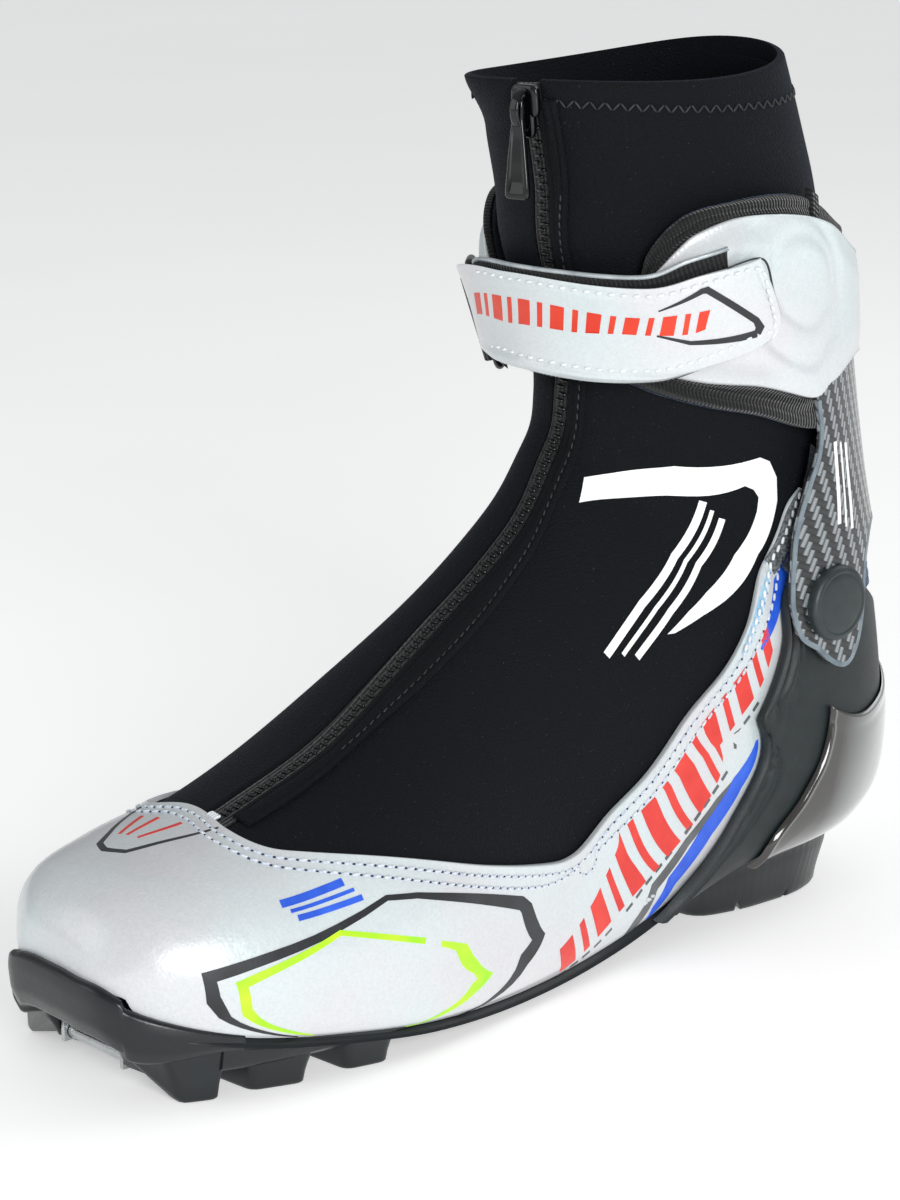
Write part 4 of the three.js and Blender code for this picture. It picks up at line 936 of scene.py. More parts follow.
# %% Liner and footbed
liner = Layer("foam_liner", lambda s, t: np.stack(np.broadcast_arrays(
    mix(1.9, 13.9, s)[:, None], mix(0, 360, t)[None]), -1), 90, 96, LINER_IN, LINER_OUT, LINING,
    1.2, (0, 1, 0, 0), relief=lambda a: -0.25 * hump(np.sin(a.u * 6), 0, 0.25),
    sink=lambda a: folds(a.u, a.v) * smooth((a.u - 11) / 2))
keep(liner.object, "ankle", "lining", "liner")
foot_low, foot_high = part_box("footbed")
print("footbed in the frame, mm:", (np.array(foot_high - foot_low) / MM).round(1))

sole_sheet = lambda u0, u1, half: (lambda s, t: np.stack(np.broadcast_arrays(
    mix(u0, u1, s)[:, None], mix(180 - half, 180 + half, t)[None]), -1))
footbed = Layer("shaped_footbed", sole_sheet(2.3, 9.0, 30), 50, 20, -10.85, -8.05, FOAM, 1.2)
keep(footbed.object, "shoe", "lining", "footbed")

# %% [markdown]
# ## The vamp
# One piece of pearl leather wraps the toe and both sides. Its top edge is folded, so it is a
# little proud, and two rows of stitches sink into it 3 and 6 mm below. The sides are stretched
# over the last, so the surface has only slow unevenness.

# %% Vamp
def vamp_relief(a):
    """A folded rim, two sewn furrows and a slow unevenness, in mm."""
    low, high = a.gaps[0], a.gaps[1]
    rim = 0.35 * (1 - smooth(high / 2.6))
    furrow = -0.28 * hump(high, 3.0, 0.55) - 0.24 * hump(high, 6.0, 0.55)
    slow = 0.12 * np.sin(a.along / 17) * np.sin(a.up / 11 + 1) * smooth(low / 8)
    return rim + furrow + slow


seam_line = [(u, v - (5 if u < 1 else 1)) for u, v in FEATHER[::-1]] + [(0, 45), (0, 0)]
vamp = Layer("vamp_shell", between(edge(round_front(seam_line)), edge(round_front(RIM[::-1]))),
             64, 420, VAMP_IN, VAMP_OUT, PEARL, 0.8, (0, 1, 0, 0), relief=vamp_relief)
keep(vamp.object, "shoe", "pearl_leather", "vamp")

rim_seams = []
for mm in (3.0, 6.0):
    inner = beside(RIM[:14], -mm)
    inner[:, 1] = np.minimum(inner[:, 1], 90)
    places = [tuple(p) for p in inner]
    whole = [(u, -v) for u, v in places[:0:-1]] + [(places[0][0], 0)] + places[1:]
    rim_seams.append(seam(f"rim_stitches_{mm:.0f}mm", whole, VAMP_OUT + 0.08, BLUE_THREAD, 2.9,
                          2.35, 0.46, 0.2))
    # Short navy capsules between the stitches: painted shade in the needle holes.
    rim_seams.append(seam(f"rim_needle_hole_shade_{mm:.0f}mm", whole, VAMP_OUT - 0.1, NEEDLE_HOLE_SHADE, 2.9, 0.8,
                          0.33, 0.2, half=0.5))
for made in rim_seams:
    keep(made, "shoe", "pearl_leather")
tuft = seam("rim_notch_bartack", [(3.93, 7), (3.92, 10)], VAMP_OUT + 0.35, WHITE_THREAD, 0.7, 2.2,
            0.5, 1.35)
keep(tuft, "shoe", "pearl_leather")

# %% Prints on the vamp
on_vamp = VAMP_OUT + 0.02
hexagon = [(3.5, 117), (2.52, 90), (2.5, 82), (4.7, 67), (5.0, 70.5), (6.05, 88), (6.15, 92),
           (5.95, 96), (5.2, 132)]
lime_front = [(3.66, 116), (2.92, 92), (2.88, 86.5), (4.12, 73), (4.94, 84)]
lime_rear = [(5.1, 86.5), (5.42, 91.5), (5.5, 94.5), (5.36, 98), (4.66, 126)]
# Each print: its name, its ink, its stripes as lines with widths in mm, and steps per leg.
TOE_PRINTS = (
    ("toe_flash_dark", BLACK_INK, [(hexagon, [0.4, 3.6, 3.2, 1.5, 1.6, 3.8, 4.4, 4.2, 0.4])], 8),
    ("toe_flash_lime", LIME_INK, [(lime_front, [0.5, 2.8, 2.6, 1.4, 1.7]),
                                  (lime_rear, [1.5, 3.2, 3.5, 3.2, 0.7])], 8),
    ("toe_bars_blue", BLUE_INK, [([(3.66, 55.5), (4.38, 56)], 2.2),
                                 ([(3.72, 59.5), (4.44, 60)], 1.0),
                                 ([(3.76, 63), (4.48, 63.6)], 1.6)], 6),
    ("toe_chevron_dark", BLACK_INK, [([(3.82, 14), (2.72, 5), (2.6, 0), (2.68, -5), (3.8, -24)],
                                      [0.6, 1.8, 2.0, 1.8, 0.6])], 8),
    ("toe_chevron_bars", RED_INK, [([(3.62 - 0.06 * k, 4.0 - 7 * k),
                                     (3.05 - 0.03 * k, 1.5 - 3 * k)], 1.1) for k in range(3)], 6),
)
prints = [films(name, [stripe(*line) for line in lines], on_vamp, colour, steps)
          for name, colour, lines, steps in TOE_PRINTS]

# A run of slanted bars up the outer side, wide and narrow ones by turns.
side_top = edge([(6.2, 104), (6.93, 91.5), (7.67, 89), (8.2, 83.5), (8.77, 80.5), (9.4, 79.3)])
side_low = edge([(6.35, 124), (6.98, 104), (7.75, 95), (8.42, 88.5), (8.87, 85.5), (9.42, 82)])


def side_place(t, s):
    """A place in the band for the bars: t along it and s from its lower to its upper edge."""
    t = np.asarray(t, float)
    return mix(side_low(t), side_top(t), np.asarray(s, float)[..., None])


def slanted_bar(start, wide, low, high, lean=0.045):
    """One leaning bar of the band, as its left and right edges."""
    s = np.linspace(low, high, 4)
    return side_place(start + lean * s, s), side_place(start + wide + lean * s, s)


bar_run = ((0.0, 0.05), (0.08, 0.02), (0.13, 0.05), (0.21, 0.02), (0.26, 0.05), (0.34, 0.02),
           (0.39, 0.05), (0.47, 0.02), (0.52, 0.05), (0.6, 0.02), (0.65, 0.05), (0.73, 0.02),
           (0.78, 0.05), (0.86, 0.02), (0.91, 0.04))
red = films("side_bars_red", [slanted_bar(start, wide, 0.0, 1.0) for start, wide in bar_run],
            on_vamp, RED_INK, 4, 5)
dashes = []
thin_line = edge([(6.35, 130), (6.8, 113), (7.13, 103.5), (7.37, 98.5), (7.9, 93), (8.37, 90),
                  (8.8, 87)])
for k in range(22):
    if k % 6 != 5:
        t = np.linspace(k / 22, (k + 0.62) / 22, 4)
        dashes.append(stripe(beside(thin_line(t), -0.6), 0.9))
thin = films("side_dashes_dark", dashes, on_vamp, GREY_INK, 2, 3)
# Each print: its name, its ink, how far it stands over the leather, its line and its widths.
SIDE_PRINTS = (
    ("side_crescent_grey", GREY_INK, 0.0,
     [(8.42, 91.5), (8.05, 94), (7.7, 98), (7.36, 105), (7.17, 124), (7.1, 134)],
     [0.4, 1.6, 2.4, 3.2, 4.2, 4.6]),
    ("side_crescent_blue", BLUE_INK, 0.03,
     [(8.56, 90.5), (8.25, 93.5), (7.88, 99.5), (7.5, 110), (7.34, 124), (7.28, 132)],
     [1.0, 4.6, 5.0, 4.4, 3.4, 1.5]),
    ("quarter_strip_blue", BLUE_INK, 0.0,
     [(10.75, 88.5), (10.4, 83.8), (9.9, 80.2), (9.45, 80.5), (9.1, 81)],
     [1.5, 3.6, 4.4, 3.6, 0.8]),
    ("quarter_strip_sky", SKY_INK, 0.05,
     [(9.98, 76.6), (9.6, 76.4), (9.25, 76.8), (8.9, 78.4)], [2.6, 3.4, 3.2, 1.4]),
)
prints += [red, thin]
prints += [films(name, [stripe(line, widths)], on_vamp + lift, colour, 8)
           for name, colour, lift, line, widths in SIDE_PRINTS]
for made in prints:
    keep(made, "shoe", "pearl_leather")
mesh_patch = Layer("quarter_grey_mesh", between(edge([(9.95, 75.2), (10.63, 83), (11.05, 90.5)]),
                                                edge([(9.9, 78.4), (10.5, 85.2), (10.95, 92)])),
                   8, 40, VAMP_OUT - 0.1, VAMP_OUT + 0.6, GREY_MESH, 0.6)
keep(mesh_patch.object, "shoe", "lining")
chain = seam("quarter_chain_stitches", [(8.95, 77.6), (9.3, 76.6), (9.95, 76.8), (10.3, 80.2),
             (10.75, 86), (10.95, 89)], VAMP_OUT + 0.65, WHITE_THREAD, 2.5, 2.2, 0.5, 0.3)
keep(chain, "shoe", "pearl_leather")

# %% Print on the gaiter
on_gaiter = lambda u, v: folds(u, v) + 0.03
hook_outer = [(8.93, 24.5), (10.03, 48.5), (11.03, 77.5), (11.08, 81), (10.97, 83), (10.73, 82),
              (9.97, 74.5), (9.17, 69.5), (8.83, 67), (8.47, 65)]
hook_inner = [(8.63, 27), (9.57, 47.5), (10.55, 70.5), (10.6, 73.5), (10.57, 75), (10.4, 74),
              (9.7, 68), (9.03, 64.8), (8.73, 64), (8.4, 64)]
hook = films("gaiter_hook_stripe", [(hook_outer, hook_inner)], on_gaiter, WHITE_INK, 8, 9)
bar_lines = [([(7.8, 57.4), (8.37, 55.2), (9.03, 54.6), (9.93, 57.6)], 2.6),
             ([(7.93, 60.2), (8.47, 58.2), (9.1, 57.4), (9.93, 60.4)], 1.4),
             ([(8.03, 63.0), (8.57, 61.0), (9.2, 60.4), (9.95, 63.4)], 2.2)]
gaiter_bars = films("gaiter_slanted_bars", [stripe(p, w, 0.3) for p, w in bar_lines], on_gaiter,
                    WHITE_INK, 8, 5)
for made in (hook, gaiter_bars):
    keep(made, "ankle", "neoprene")

# %% [markdown]
# ## The heel
# A moulded rubber counter cups the heel. Two raised beads run up its front edge, with a groove
# behind each. Over it lies a polished cradle, and a webbing loop helps to pull the boot on.

# %% Counter, cradle, padding and loop
def beads(a):
    """Two beads and two grooves along the front edges, and a shallow belly."""
    d = np.minimum(a.gaps[2], a.gaps[3])
    line = (1.0 * hump(d, 1.7, 1.1) - 0.5 * hump(d, 3.9, 0.6) + 0.9 * hump(d, 6.1, 1.2)
            - 0.55 * hump(d, 8.6, 0.7))
    return line + 0.3 * smooth(d / 30)


def matched(side, shift=0.0):
    """The start and end curves of a field that is the same on both sides."""
    line = edge(side)
    start = lambda s: line(s) + np.stack([shift * (1 - s), 0 * s], -1)
    end = lambda s: start(s) * [1, -1] + [0, 360]
    return start, end


counter = Layer("heel_counter_shell", field(edge(round_back(moved(HEEL_SEAM, 0.03, 0))),
                edge(round_back(COUNTER_TOP)), *matched(RIDGE, 0.03)), 70, 320, COUNTER_IN,
                COUNTER_OUT, COUNTER, 0.9, relief=beads)
keep(counter.object, "shoe", "counter_rubber", "heel_counter")

cradle = Layer("heel_cradle_gloss", field(edge(round_back(CRADLE_LOW)),
               edge(round_back(CRADLE_HIGH)), *matched(CRADLE_SIDE)), 50, 220, CRADLE_IN,
               CRADLE_OUT, CRADLE, 0.8,
               relief=lambda a: 0.5 * hump(np.minimum(a.gaps[2], a.gaps[3]), 1.0, 0.9)
               - 0.35 * hump(a.gaps[1], 4.0, 1.2) + 0.35 * smooth(a.edge / 14))
keep(cradle.object, "shoe", "grey_gloss", "heel_cradle")

roll = Layer("ankle_pile_roll",
             between(edge(round_back([(10.72, 104), (10.93, 140), (11.05, 180)])),
                     edge(round_back([(11.12, 106), (11.36, 140), (11.42, 180)]))),
             14, 150, 0.8, 3.9, PILE, 2.6, floor=0.02,
             relief=lambda a: 0.25 * np.sin(a.along * 0.9) * np.sin(a.up * 1.3 + 1))
keep(roll.object, "shoe", "lining", "counter_padding")


def swept(name, centre, across, up, outline, material, closed=False):
    """A section outline (n, 2) carried along a path, set across and up of it. A closed path's
    last ring is joined to its first; the ends of an open one are fans."""
    rings = centre[:, None] + outline[None, :, :1] * across[:, None] \
        + outline[None, :, 1:] * up[:, None]
    rows, columns = rings.shape[:2]
    if closed:
        flat, k, end = rings.reshape(-1, 3), np.arange(columns), (rows - 1) * columns
        after = (k + 1) % columns
        join = np.stack([end + k, end + after, after, k], -1)
        faces = outward(flat, [np.concatenate([grid_faces(rows, columns, ring=True), join])])
    else:
        flat, faces = loft(rings)
    run = run_along(rings, 0)[:, :1] + np.zeros((1, columns))
    uv = np.stack([run, run_along(rings, 1)], -1).reshape(-1, 2)
    uv = np.concatenate([uv, np.zeros((len(flat) - len(uv), 2))])
    return put(name, flat, faces, material, uv)


def rounded_bar(wide, tall, radius, steps=4):
    """A rounded rectangle's outline as (n, 2) points."""
    turn = np.linspace(0, np.pi / 2, steps + 1)
    corners = []
    for k, (sx, sy) in enumerate(((1, 1), (-1, 1), (-1, -1), (1, -1))):
        a = turn + k * np.pi / 2
        corners.append(np.stack([sx * (wide / 2 - radius) + radius * np.cos(a),
                                 sy * (tall / 2 - radius) + radius * np.sin(a)], -1))
    return np.concatenate(corners)


loop_low, loop_high = last(10.5, 180, CRADLE_OUT), last(11, 180, CRADLE_OUT)
loop_mid = mix(loop_low, loop_high, 0.5)
loop_turn = np.radians(np.linspace(-118, 118, 60))
loop_tall = (loop_high[2] - loop_low[2]) / 2 + 3 - 0.9
loop_path = np.stack([0 * loop_turn, loop_mid[1] + 2 + 7.1 * np.cos(loop_turn),
                      loop_mid[2] + loop_tall * np.sin(loop_turn)], -1)
loop_ahead = unit(np.gradient(loop_path, axis=0))
loop_side = np.broadcast_to([1.0, 0, 0], loop_path.shape)
loop = swept("heel_pull_loop", loop_path, loop_side, np.cross(loop_side, loop_ahead),
             rounded_bar(12, 1.7, 0.5), WEBBING)
keep(loop, "shoe", "webbing", "heel_loop")

# %% [markdown]
# ## The sole
# Moulded polyurethane. A cup with a proud lip holds the upper, and a heavier band runs round its
# toe. Under it stand two front horns with a steel bar between them for the binding, lugs with a
# draft angle, and a heel block. The band is one section carried along the lip. A loft through
# rounded outlines gives each block its slanted faces and its soft lower edge.

# %% Cup, toe band, lugs, horns and heel block
SOLE_EDGE = moved(FEATHER, 0, 0.4) + moved(HEEL_SEAM[1:4], 0, 1.5)
half_cup = field(edge(SOLE_EDGE), edge([(u, 180) for u, v in SOLE_EDGE]),
                 straight(SOLE_EDGE[0], (SOLE_EDGE[0][0], 180)),
                 straight(SOLE_EDGE[-1], (SOLE_EDGE[-1][0], 180)))


def cup_places(s, t):
    """The outer half for s under a half, and its mirror after it."""
    uv = half_cup(np.where(s < 0.5, 2 * s, 2 - 2 * s), t)
    return np.stack([uv[..., 0], np.where((s < 0.5)[:, None], uv[..., 1], 360 - uv[..., 1])], -1)


def cup_relief(a):
    """A lip along the upper edge, a hollow under the toe band and a shallower one behind it."""
    d = np.minimum(a.gaps[0], a.gaps[1])
    front = 1 - smooth((a.u - 3.2) / 2.5)
    lip = 0.45 * hump(d, 0.9, 1.2)
    band = -1.0 * front * smooth((d - 11) / 3) * (1 - smooth((d - 17) / 8))
    side = -0.8 * (1 - front) * smooth((d - 5) / 3) * (1 - smooth((d - 11) / 6))
    return lip + band + side


cup = Layer("sole_cup", cup_places, 90, 220, VAMP_IN, SOLE_OUT, SOLE, 0.9, (1, 1, 0, 0),
            relief=cup_relief)
keep(cup.object, "shoe", "sole_tpu", "outsole")


def round_ring(corners, radius, steps=5):
    """A closed outline through corners whose turns are cut by quadratic curves."""
    corners = np.asarray(corners, float)
    before, after = np.roll(corners, 1, 0), np.roll(corners, -1, 0)
    span_in = np.linalg.norm(before - corners, axis=1)
    span_out = np.linalg.norm(after - corners, axis=1)
    cut = np.minimum(radius, 0.45 * np.minimum(span_in, span_out))[:, None]
    a, b = corners + cut * unit(before - corners), corners + cut * unit(after - corners)
    t = np.linspace(0, 1, steps)[None, :, None]
    curve = (1 - t) ** 2 * a[:, None] + 2 * t * (1 - t) * corners[:, None] + t**2 * b[:, None]
    return curve.reshape(-1, curve.shape[-1])


def block(bottom, top, z0, z1, radius, soft=1.2):
    """Rings of a lug: inset at the very bottom, then drafted from bottom to top outline."""
    low, high = round_ring(bottom, radius), round_ring(top, radius)
    middle = low.mean(0)
    rings = []
    for k in np.linspace(0, 1, 5):
        inset = soft * (1 - np.sin(k * np.pi / 2))
        lift = soft * (1 - np.cos(k * np.pi / 2))
        ring = low + (middle - low) * inset / np.maximum(
            np.linalg.norm(middle - low, axis=1, keepdims=True), 1)
        rings.append(np.concatenate([ring, np.full((len(ring), 1), z0 + lift)], 1))
    for k in np.linspace(0, 1, 8)[1:]:
        ring = mix(low, high, smooth(k) * 0.6 + 0.4 * k)
        rings.append(np.concatenate([ring, np.full((len(ring), 1), mix(z0 + soft, z1, k))], 1))
    return np.array(rings)


def together(name, shapes, material):
    """Several closed shapes as one piece."""
    points, faces, count = [], [], 0
    for p, f in shapes:
        points.append(p)
        faces += [np.asarray(x) + count for x in f]
        count += len(p)
    return put(name, np.concatenate(points), faces, material, sharp=38)


# The toe band: one section carried round the toe, flat in front, thin where it joins the cup.
LIP = [(2.9, 113.5), (2.33, 106), (1.8, 99), (1.4, 94), (1.15, 90), (0.87, 80), (0.5, 55),
       (0.38, 25), (0.36, 0)]
LIP_STEPS, LIP_TAPER = 140, 42
lip_uv = edge(LIP + [(u, -v) for u, v in LIP[-2::-1]])(np.linspace(0, 1, LIP_STEPS))
lip_path = last(lip_uv[:, 0], lip_uv[:, 1], 1.2)
lip_ahead = unit(np.gradient(lip_path, axis=0) * [1, 1, 0])
lip_out = np.stack([-lip_ahead[:, 1], lip_ahead[:, 0], 0 * lip_ahead[:, 0]], -1)
lip_out *= np.sign((lip_out * (lip_path - lip_path.mean(0))).sum(-1, keepdims=True))
from_end = np.minimum(np.arange(LIP_STEPS), np.arange(LIP_STEPS)[::-1])
lip_share = smooth(from_end / LIP_TAPER)[:, None]
band_outline = round_ring([(-6, -0.6), (1.9, 0.5), (3.1, -0.4), (3.5, -3.5), (2.9, -10.0),
                           (0.8, -14.5), (-6, -14.5)], 1.4, 6)
band_scale = np.stack([0.45 + 0.55 * lip_share, 0.3 + 0.7 * lip_share], -1)
band_points = band_outline[None] * band_scale
band_rings = (lip_path[:, None] + band_points[..., :1] * lip_out[:, None]
              + band_points[..., 1:] * np.array([0, 0, 1.0]))
toe_band = together("sole_toe_band", [loft(band_rings)], SOLE)
keep(toe_band, "shoe", "sole_tpu", "outsole")

side_u = np.linspace(0.2, 5.2, 80)
tread_outer, tread_inner = last(side_u, 118, 2.2), last(side_u, 242, 2.2)


def tread_x(y, side):
    """How far the tread reaches sideways at a distance along the foot."""
    rim = tread_outer if side > 0 else tread_inner
    return np.interp(y, rim[:, 1], rim[:, 0])


# The front and back of each row of lugs. The first row is the two horns beside the toe bar.
LUG_ROWS = ((-144, -117), (-113, -94), (-86, -69))
HORN_TALL, LUG_TALL, HORN_NEAR, LUG_NEAR = 24, 17, 14.2, 13.6
lug_shapes = []
for front, back in LUG_ROWS:
    toe_row = front == LUG_ROWS[0][0]
    near = HORN_NEAR if toe_row else LUG_NEAR
    for side in (1, -1):
        reach = lambda y, inset: tread_x(max(y, -139), side) - side * inset
        y0, y1 = (front + 9 if toe_row else front + 1.2), back - 1.2
        deep = 9.5 if toe_row else 2.0
        bottom = [(side * near, y0), (reach(y0, deep + 2), y0 + 2), (reach(y1, 3.0), y1),
                  (side * near, y1)]
        top_front = front + (0 if toe_row else -1)
        top = [(side * near, top_front + 2), (reach(top_front, 1.5), top_front + 3),
               (reach(back, -0.5), back + 2), (side * near, back + 2)]
        if toe_row:
            bottom[0], bottom[1] = (side * near, -134.5), (side * 34, -128.5)
        rings = block(bottom, top, 0.0, HORN_TALL if toe_row else LUG_TALL, 3.0)
        if toe_row:
            rings[..., 2] += (11 * smooth((-127 - rings[..., 1]) / 8)
                              * (1 - np.clip(rings[..., 2] / HORN_TALL, 0, 1)))
        lug_shapes.append(loft(rings))
    if not toe_row:
        rib = [(-4.2, front), (4.2, front), (4.2, back), (-4.2, back)]
        lug_shapes.append(loft(block(rib, rib, 0.3, 14, 1.2, 0.8)))
web_y = np.linspace(-119, -60, 24)
web_ring = np.concatenate([np.stack([tread_x(web_y, 1) - 1.5, web_y], -1),
                           np.stack([tread_x(web_y[::-1], -1) + 1.5, web_y[::-1]], -1)])
web = np.array([np.concatenate([web_ring * [k, 1], np.full((len(web_ring), 1), z)], 1)
                for k, z in ((0.9, 7.5), (0.97, 7.8), (1.0, 9.0), (1.02, 14.0), (1.0, 17.0))])
lug_shapes.append(loft(web))
lugs = together("sole_lugs_and_horns", lug_shapes, SOLE)
keep(lugs, "shoe", "sole_tpu", "outsole")

HEEL_HALF = 27.0
heel_low = [(-22, 67), (22, 67), (HEEL_HALF - 1, 84), (HEEL_HALF - 1, 108), (20, 123),
            (-20, 123), (-HEEL_HALF + 1, 108), (-HEEL_HALF + 1, 84)]
heel_high = [(-24, 60), (24, 60), (HEEL_HALF + 1.5, 82), (HEEL_HALF + 1.5, 108), (22, 128),
             (-22, 128), (-HEEL_HALF - 1.5, 108), (-HEEL_HALF - 1.5, 82)]


def resampled(ring, count):
    """A closed outline with points evenly spaced along it."""
    closed = np.concatenate([ring, ring[:1]])
    run = np.concatenate([[0], np.cumsum(np.linalg.norm(np.diff(closed, axis=0), axis=1))])
    at = np.linspace(0, run[-1], count, endpoint=False)
    return np.stack([np.interp(at, run, closed[:, k]) for k in (0, 1)], -1)


under_u, under_v = np.meshgrid(np.linspace(5, 10.6, 90), np.linspace(130, 230, 90))
under = last(under_u, under_v, SOLE_OUT + 0.95).reshape(-1, 3)


def under_foot(xy):
    """The height of the sole cup's underside over each point, from the nearest sample."""
    far = np.linalg.norm(xy[:, None] - under[None, :, :2], axis=2)
    return under[far.argmin(1), 2]


heel_bottom = resampled(round_ring(heel_low, 7), 300)
heel_top = resampled(round_ring(heel_high, 8), 300)
heel_top_z = np.minimum(under_foot(heel_top), 25)
NOTCH_Y, NOTCH_WIDTH, NOTCH_DEEP, NOTCH_FROM_X = (82, 102), 1.9, 3.0, 15
in_notch = np.maximum(*(hump(heel_bottom[:, 1], y, NOTCH_WIDTH) ** 8 for y in NOTCH_Y))
in_notch = NOTCH_DEEP * smooth(in_notch * 1.6) * (np.abs(heel_bottom[:, 0]) > NOTCH_FROM_X)
heel_centre = heel_bottom.mean(0)
heel_rings = []
for scale, cut in ((0.2, 0), (0.66, 0), (0.7, 1), (0.94, 1)):
    ring = heel_centre + (heel_bottom - heel_centre) * scale
    heel_rings.append(np.concatenate([ring, (in_notch * cut)[:, None] + 0.0], 1))
for scale, lift in ((0.965, 0.15), (0.985, 0.6), (1.0, 1.5)):
    ring = heel_centre + (heel_bottom - heel_centre) * scale
    heel_rings.append(np.concatenate([ring, np.maximum(in_notch, lift)[:, None]], 1))
for k in np.linspace(0, 1, 12)[1:]:
    step = -0.5 * hump(k, 0.78, 0.06)
    ring = mix(heel_bottom, heel_top, smooth(k) * 0.5 + 0.5 * k)
    ring = ring + unit(ring - heel_centre) * step
    z = np.maximum(mix(1.5, heel_top_z, k), in_notch + 0.2 * k)
    heel_rings.append(np.concatenate([ring, z[:, None]], 1))
heel = together("heel_block_body", [loft(heel_rings)], SOLE)
keep(heel, "shoe", "sole_tpu", "heel_block")
for node, stuff in (("toe_bar", STEEL), ("toe_bar_plate", STEEL), ("lasting_board", BOARD)):
    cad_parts[node].data.materials.clear()
    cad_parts[node].data.materials.append(stuff)

# %% [markdown]
# ## The cuff
# A padded collar of pearl leather is quilted on a foam lining and bound with ribbed elastic. A
# carbon arm is bonded to it on each side and turns on the ankle rivet.

# %% Padding, bindings and shell
def soft_bumps(a):
    """Slow swelling of the foam under its cover."""
    return 0.25 * np.sin(a.along / 9) * np.sin(a.up / 6 + 0.5)


padding = Layer("cuff_foam_lining",
                between(edge(round_back(TRIM_LOW)), edge(round_back(TRIM_HIGH))),
                36, 220, PAD_IN, PAD_OUT, LINING, 1.3, relief=soft_bumps)
keep(padding.object, "cuff", "lining", "cuff_padding")


def ribs(a):
    """Three length ribs of half a sine each."""
    share = a.up / np.maximum(a.up[-1:], 1e-6)
    return 0.55 * np.abs(np.sin(3 * np.pi * share)) ** 0.7 - 0.15


for name, outer_line, inner_line, node in (
        ("cuff_binding_low", TRIM_LOW, moved(CUFF_LOW, 0.1, 1), "cuff_trim_bottom"),
        ("cuff_binding_high", moved(CUFF_HIGH, -0.1, 1), TRIM_HIGH, "cuff_trim_top")):
    band = Layer(name, between(edge(round_back(outer_line)), edge(round_back(inner_line))), 26,
                 420, TRIM_IN - 0.6, TRIM_OUT + 0.4, ELASTIC, 0.9, relief=ribs)
    keep(band.object, "cuff", "webbing", node)


def arm_free(v):
    """One in front of the carbon arm, none over it."""
    w = np.minimum(v, 360 - v)
    return 1 - smooth((w - 74) / 14)


def shell_sink(a):
    """The cover's edge is drawn down onto the binding where no arm lies under it."""
    return -2.6 * arm_free(a.v) * (1 - smooth(a.edge / 8))


def shell_relief(a):
    """Foam swelling, pressed crescents and a finely pinked edge."""
    w = np.minimum(a.v, 360 - a.v)
    high = a.up / np.maximum(a.up[-1:], 1)
    puff = 1.5 * smooth(a.edge / 9) * (0.55 + 0.45 * arm_free(a.v))
    crescent = np.hypot((w - 92) / 20, (high - 0.62) / 0.42)
    pressed = -0.75 * hump(crescent, 1.0, 0.13) * (w > 70)
    second = -0.6 * hump(np.hypot((w - 96) / 12, (high - 0.66) / 0.24), 1.0, 0.18) * (w > 84)
    pinked = 0.22 * np.sin(a.along * 4.2) * (1 - smooth(a.edge / 1.6))
    return puff + pressed + second + pinked


shell = Layer("cuff_pearl_shell", between(edge(round_back(CUFF_LOW)), edge(round_back(CUFF_HIGH))),
              54, 560, SHELL_IN, SHELL_OUT, PEARL, 0.7, sink=shell_sink, relief=shell_relief)
keep(shell.object, "cuff", "pearl_leather", "cuff_shell")
tail = Layer("cuff_binding_end", between(edge([(13.45, 101), (13.68, 104), (13.98, 105.5)]),
             edge([(13.4, 106.5), (13.62, 108.5), (13.93, 109.5)])), 10, 30, TRIM_OUT - 0.4,
             TRIM_OUT + 1.6, WEBBING, 0.7)
keep(tail.object, "cuff", "webbing")

# %% Carbon arm and pivots
arm = Layer("carbon_cuff_arm", field(edge(round_back(CARBON_LOW)), edge(round_back(CARBON_HIGH)),
            *matched(CARBON_SIDE)), 60, 300, CARBON_IN, CARBON_OUT, CARBON, 0.45)
keep(arm.object, "cuff", "carbon", "carbon_cuff")
rim_line = CARBON_SIDE[::-1] + CARBON_LOW[1:]
edges = []
for mirror in (False, True):
    line = edge([(u, 360 - v) for u, v in rim_line] if mirror else rim_line)(
        np.linspace(0.01, 0.985, 90))
    edges.append(stripe(beside(line, -0.75 if mirror else 0.75, CARBON_OUT), 1.5, CARBON_OUT))
cut_edge = films("carbon_cut_edge", edges, CARBON_OUT - 0.12, CUT_EDGE, 2, 5, 0.16)
keep(cut_edge, "cuff", "carbon")
arm_bars = films("carbon_bars_white", [stripe(p, w, CARBON_OUT) for p, w in (
    ([(10.95, 98), (11.8, 103.5)], 1.5), ([(11.0, 101.5), (11.85, 107)], 0.8),
    ([(11.05, 105), (11.9, 110.5)], 1.3))],
    CARBON_OUT + 0.02, WHITE_INK)
keep(arm_bars, "cuff", "carbon")
arm_pile = Layer("arm_pile_pad", between(edge([(10.0, 78.5), (10.9, 87), (11.6, 95)]),
                 edge([(10.0, 90), (10.8, 98), (11.5, 104)])), 14, 60, 5.0, 6.8, PILE, 1.2,
                 relief=lambda a: 0.2 * np.sin(a.along * 1.7) * np.sin(a.up * 1.9))
keep(arm_pile.object, "cuff", "lining")


def turned_shape(name, profile, centre, side, material, sides=72):
    """A profile of (radius, height) turned round the X axis through a centre."""
    profile = np.asarray(profile, float)
    turn = np.linspace(0, 2 * np.pi, sides, endpoint=False)
    r, h = profile[:, :1], profile[:, 1:]
    points = np.stack([side * (h + 0 * turn), centre[0] + r * np.cos(turn),
                       centre[1] + r * np.sin(turn)], -1)
    flat, faces = loft(points)
    return put(name, flat, faces, material, sharp=35)


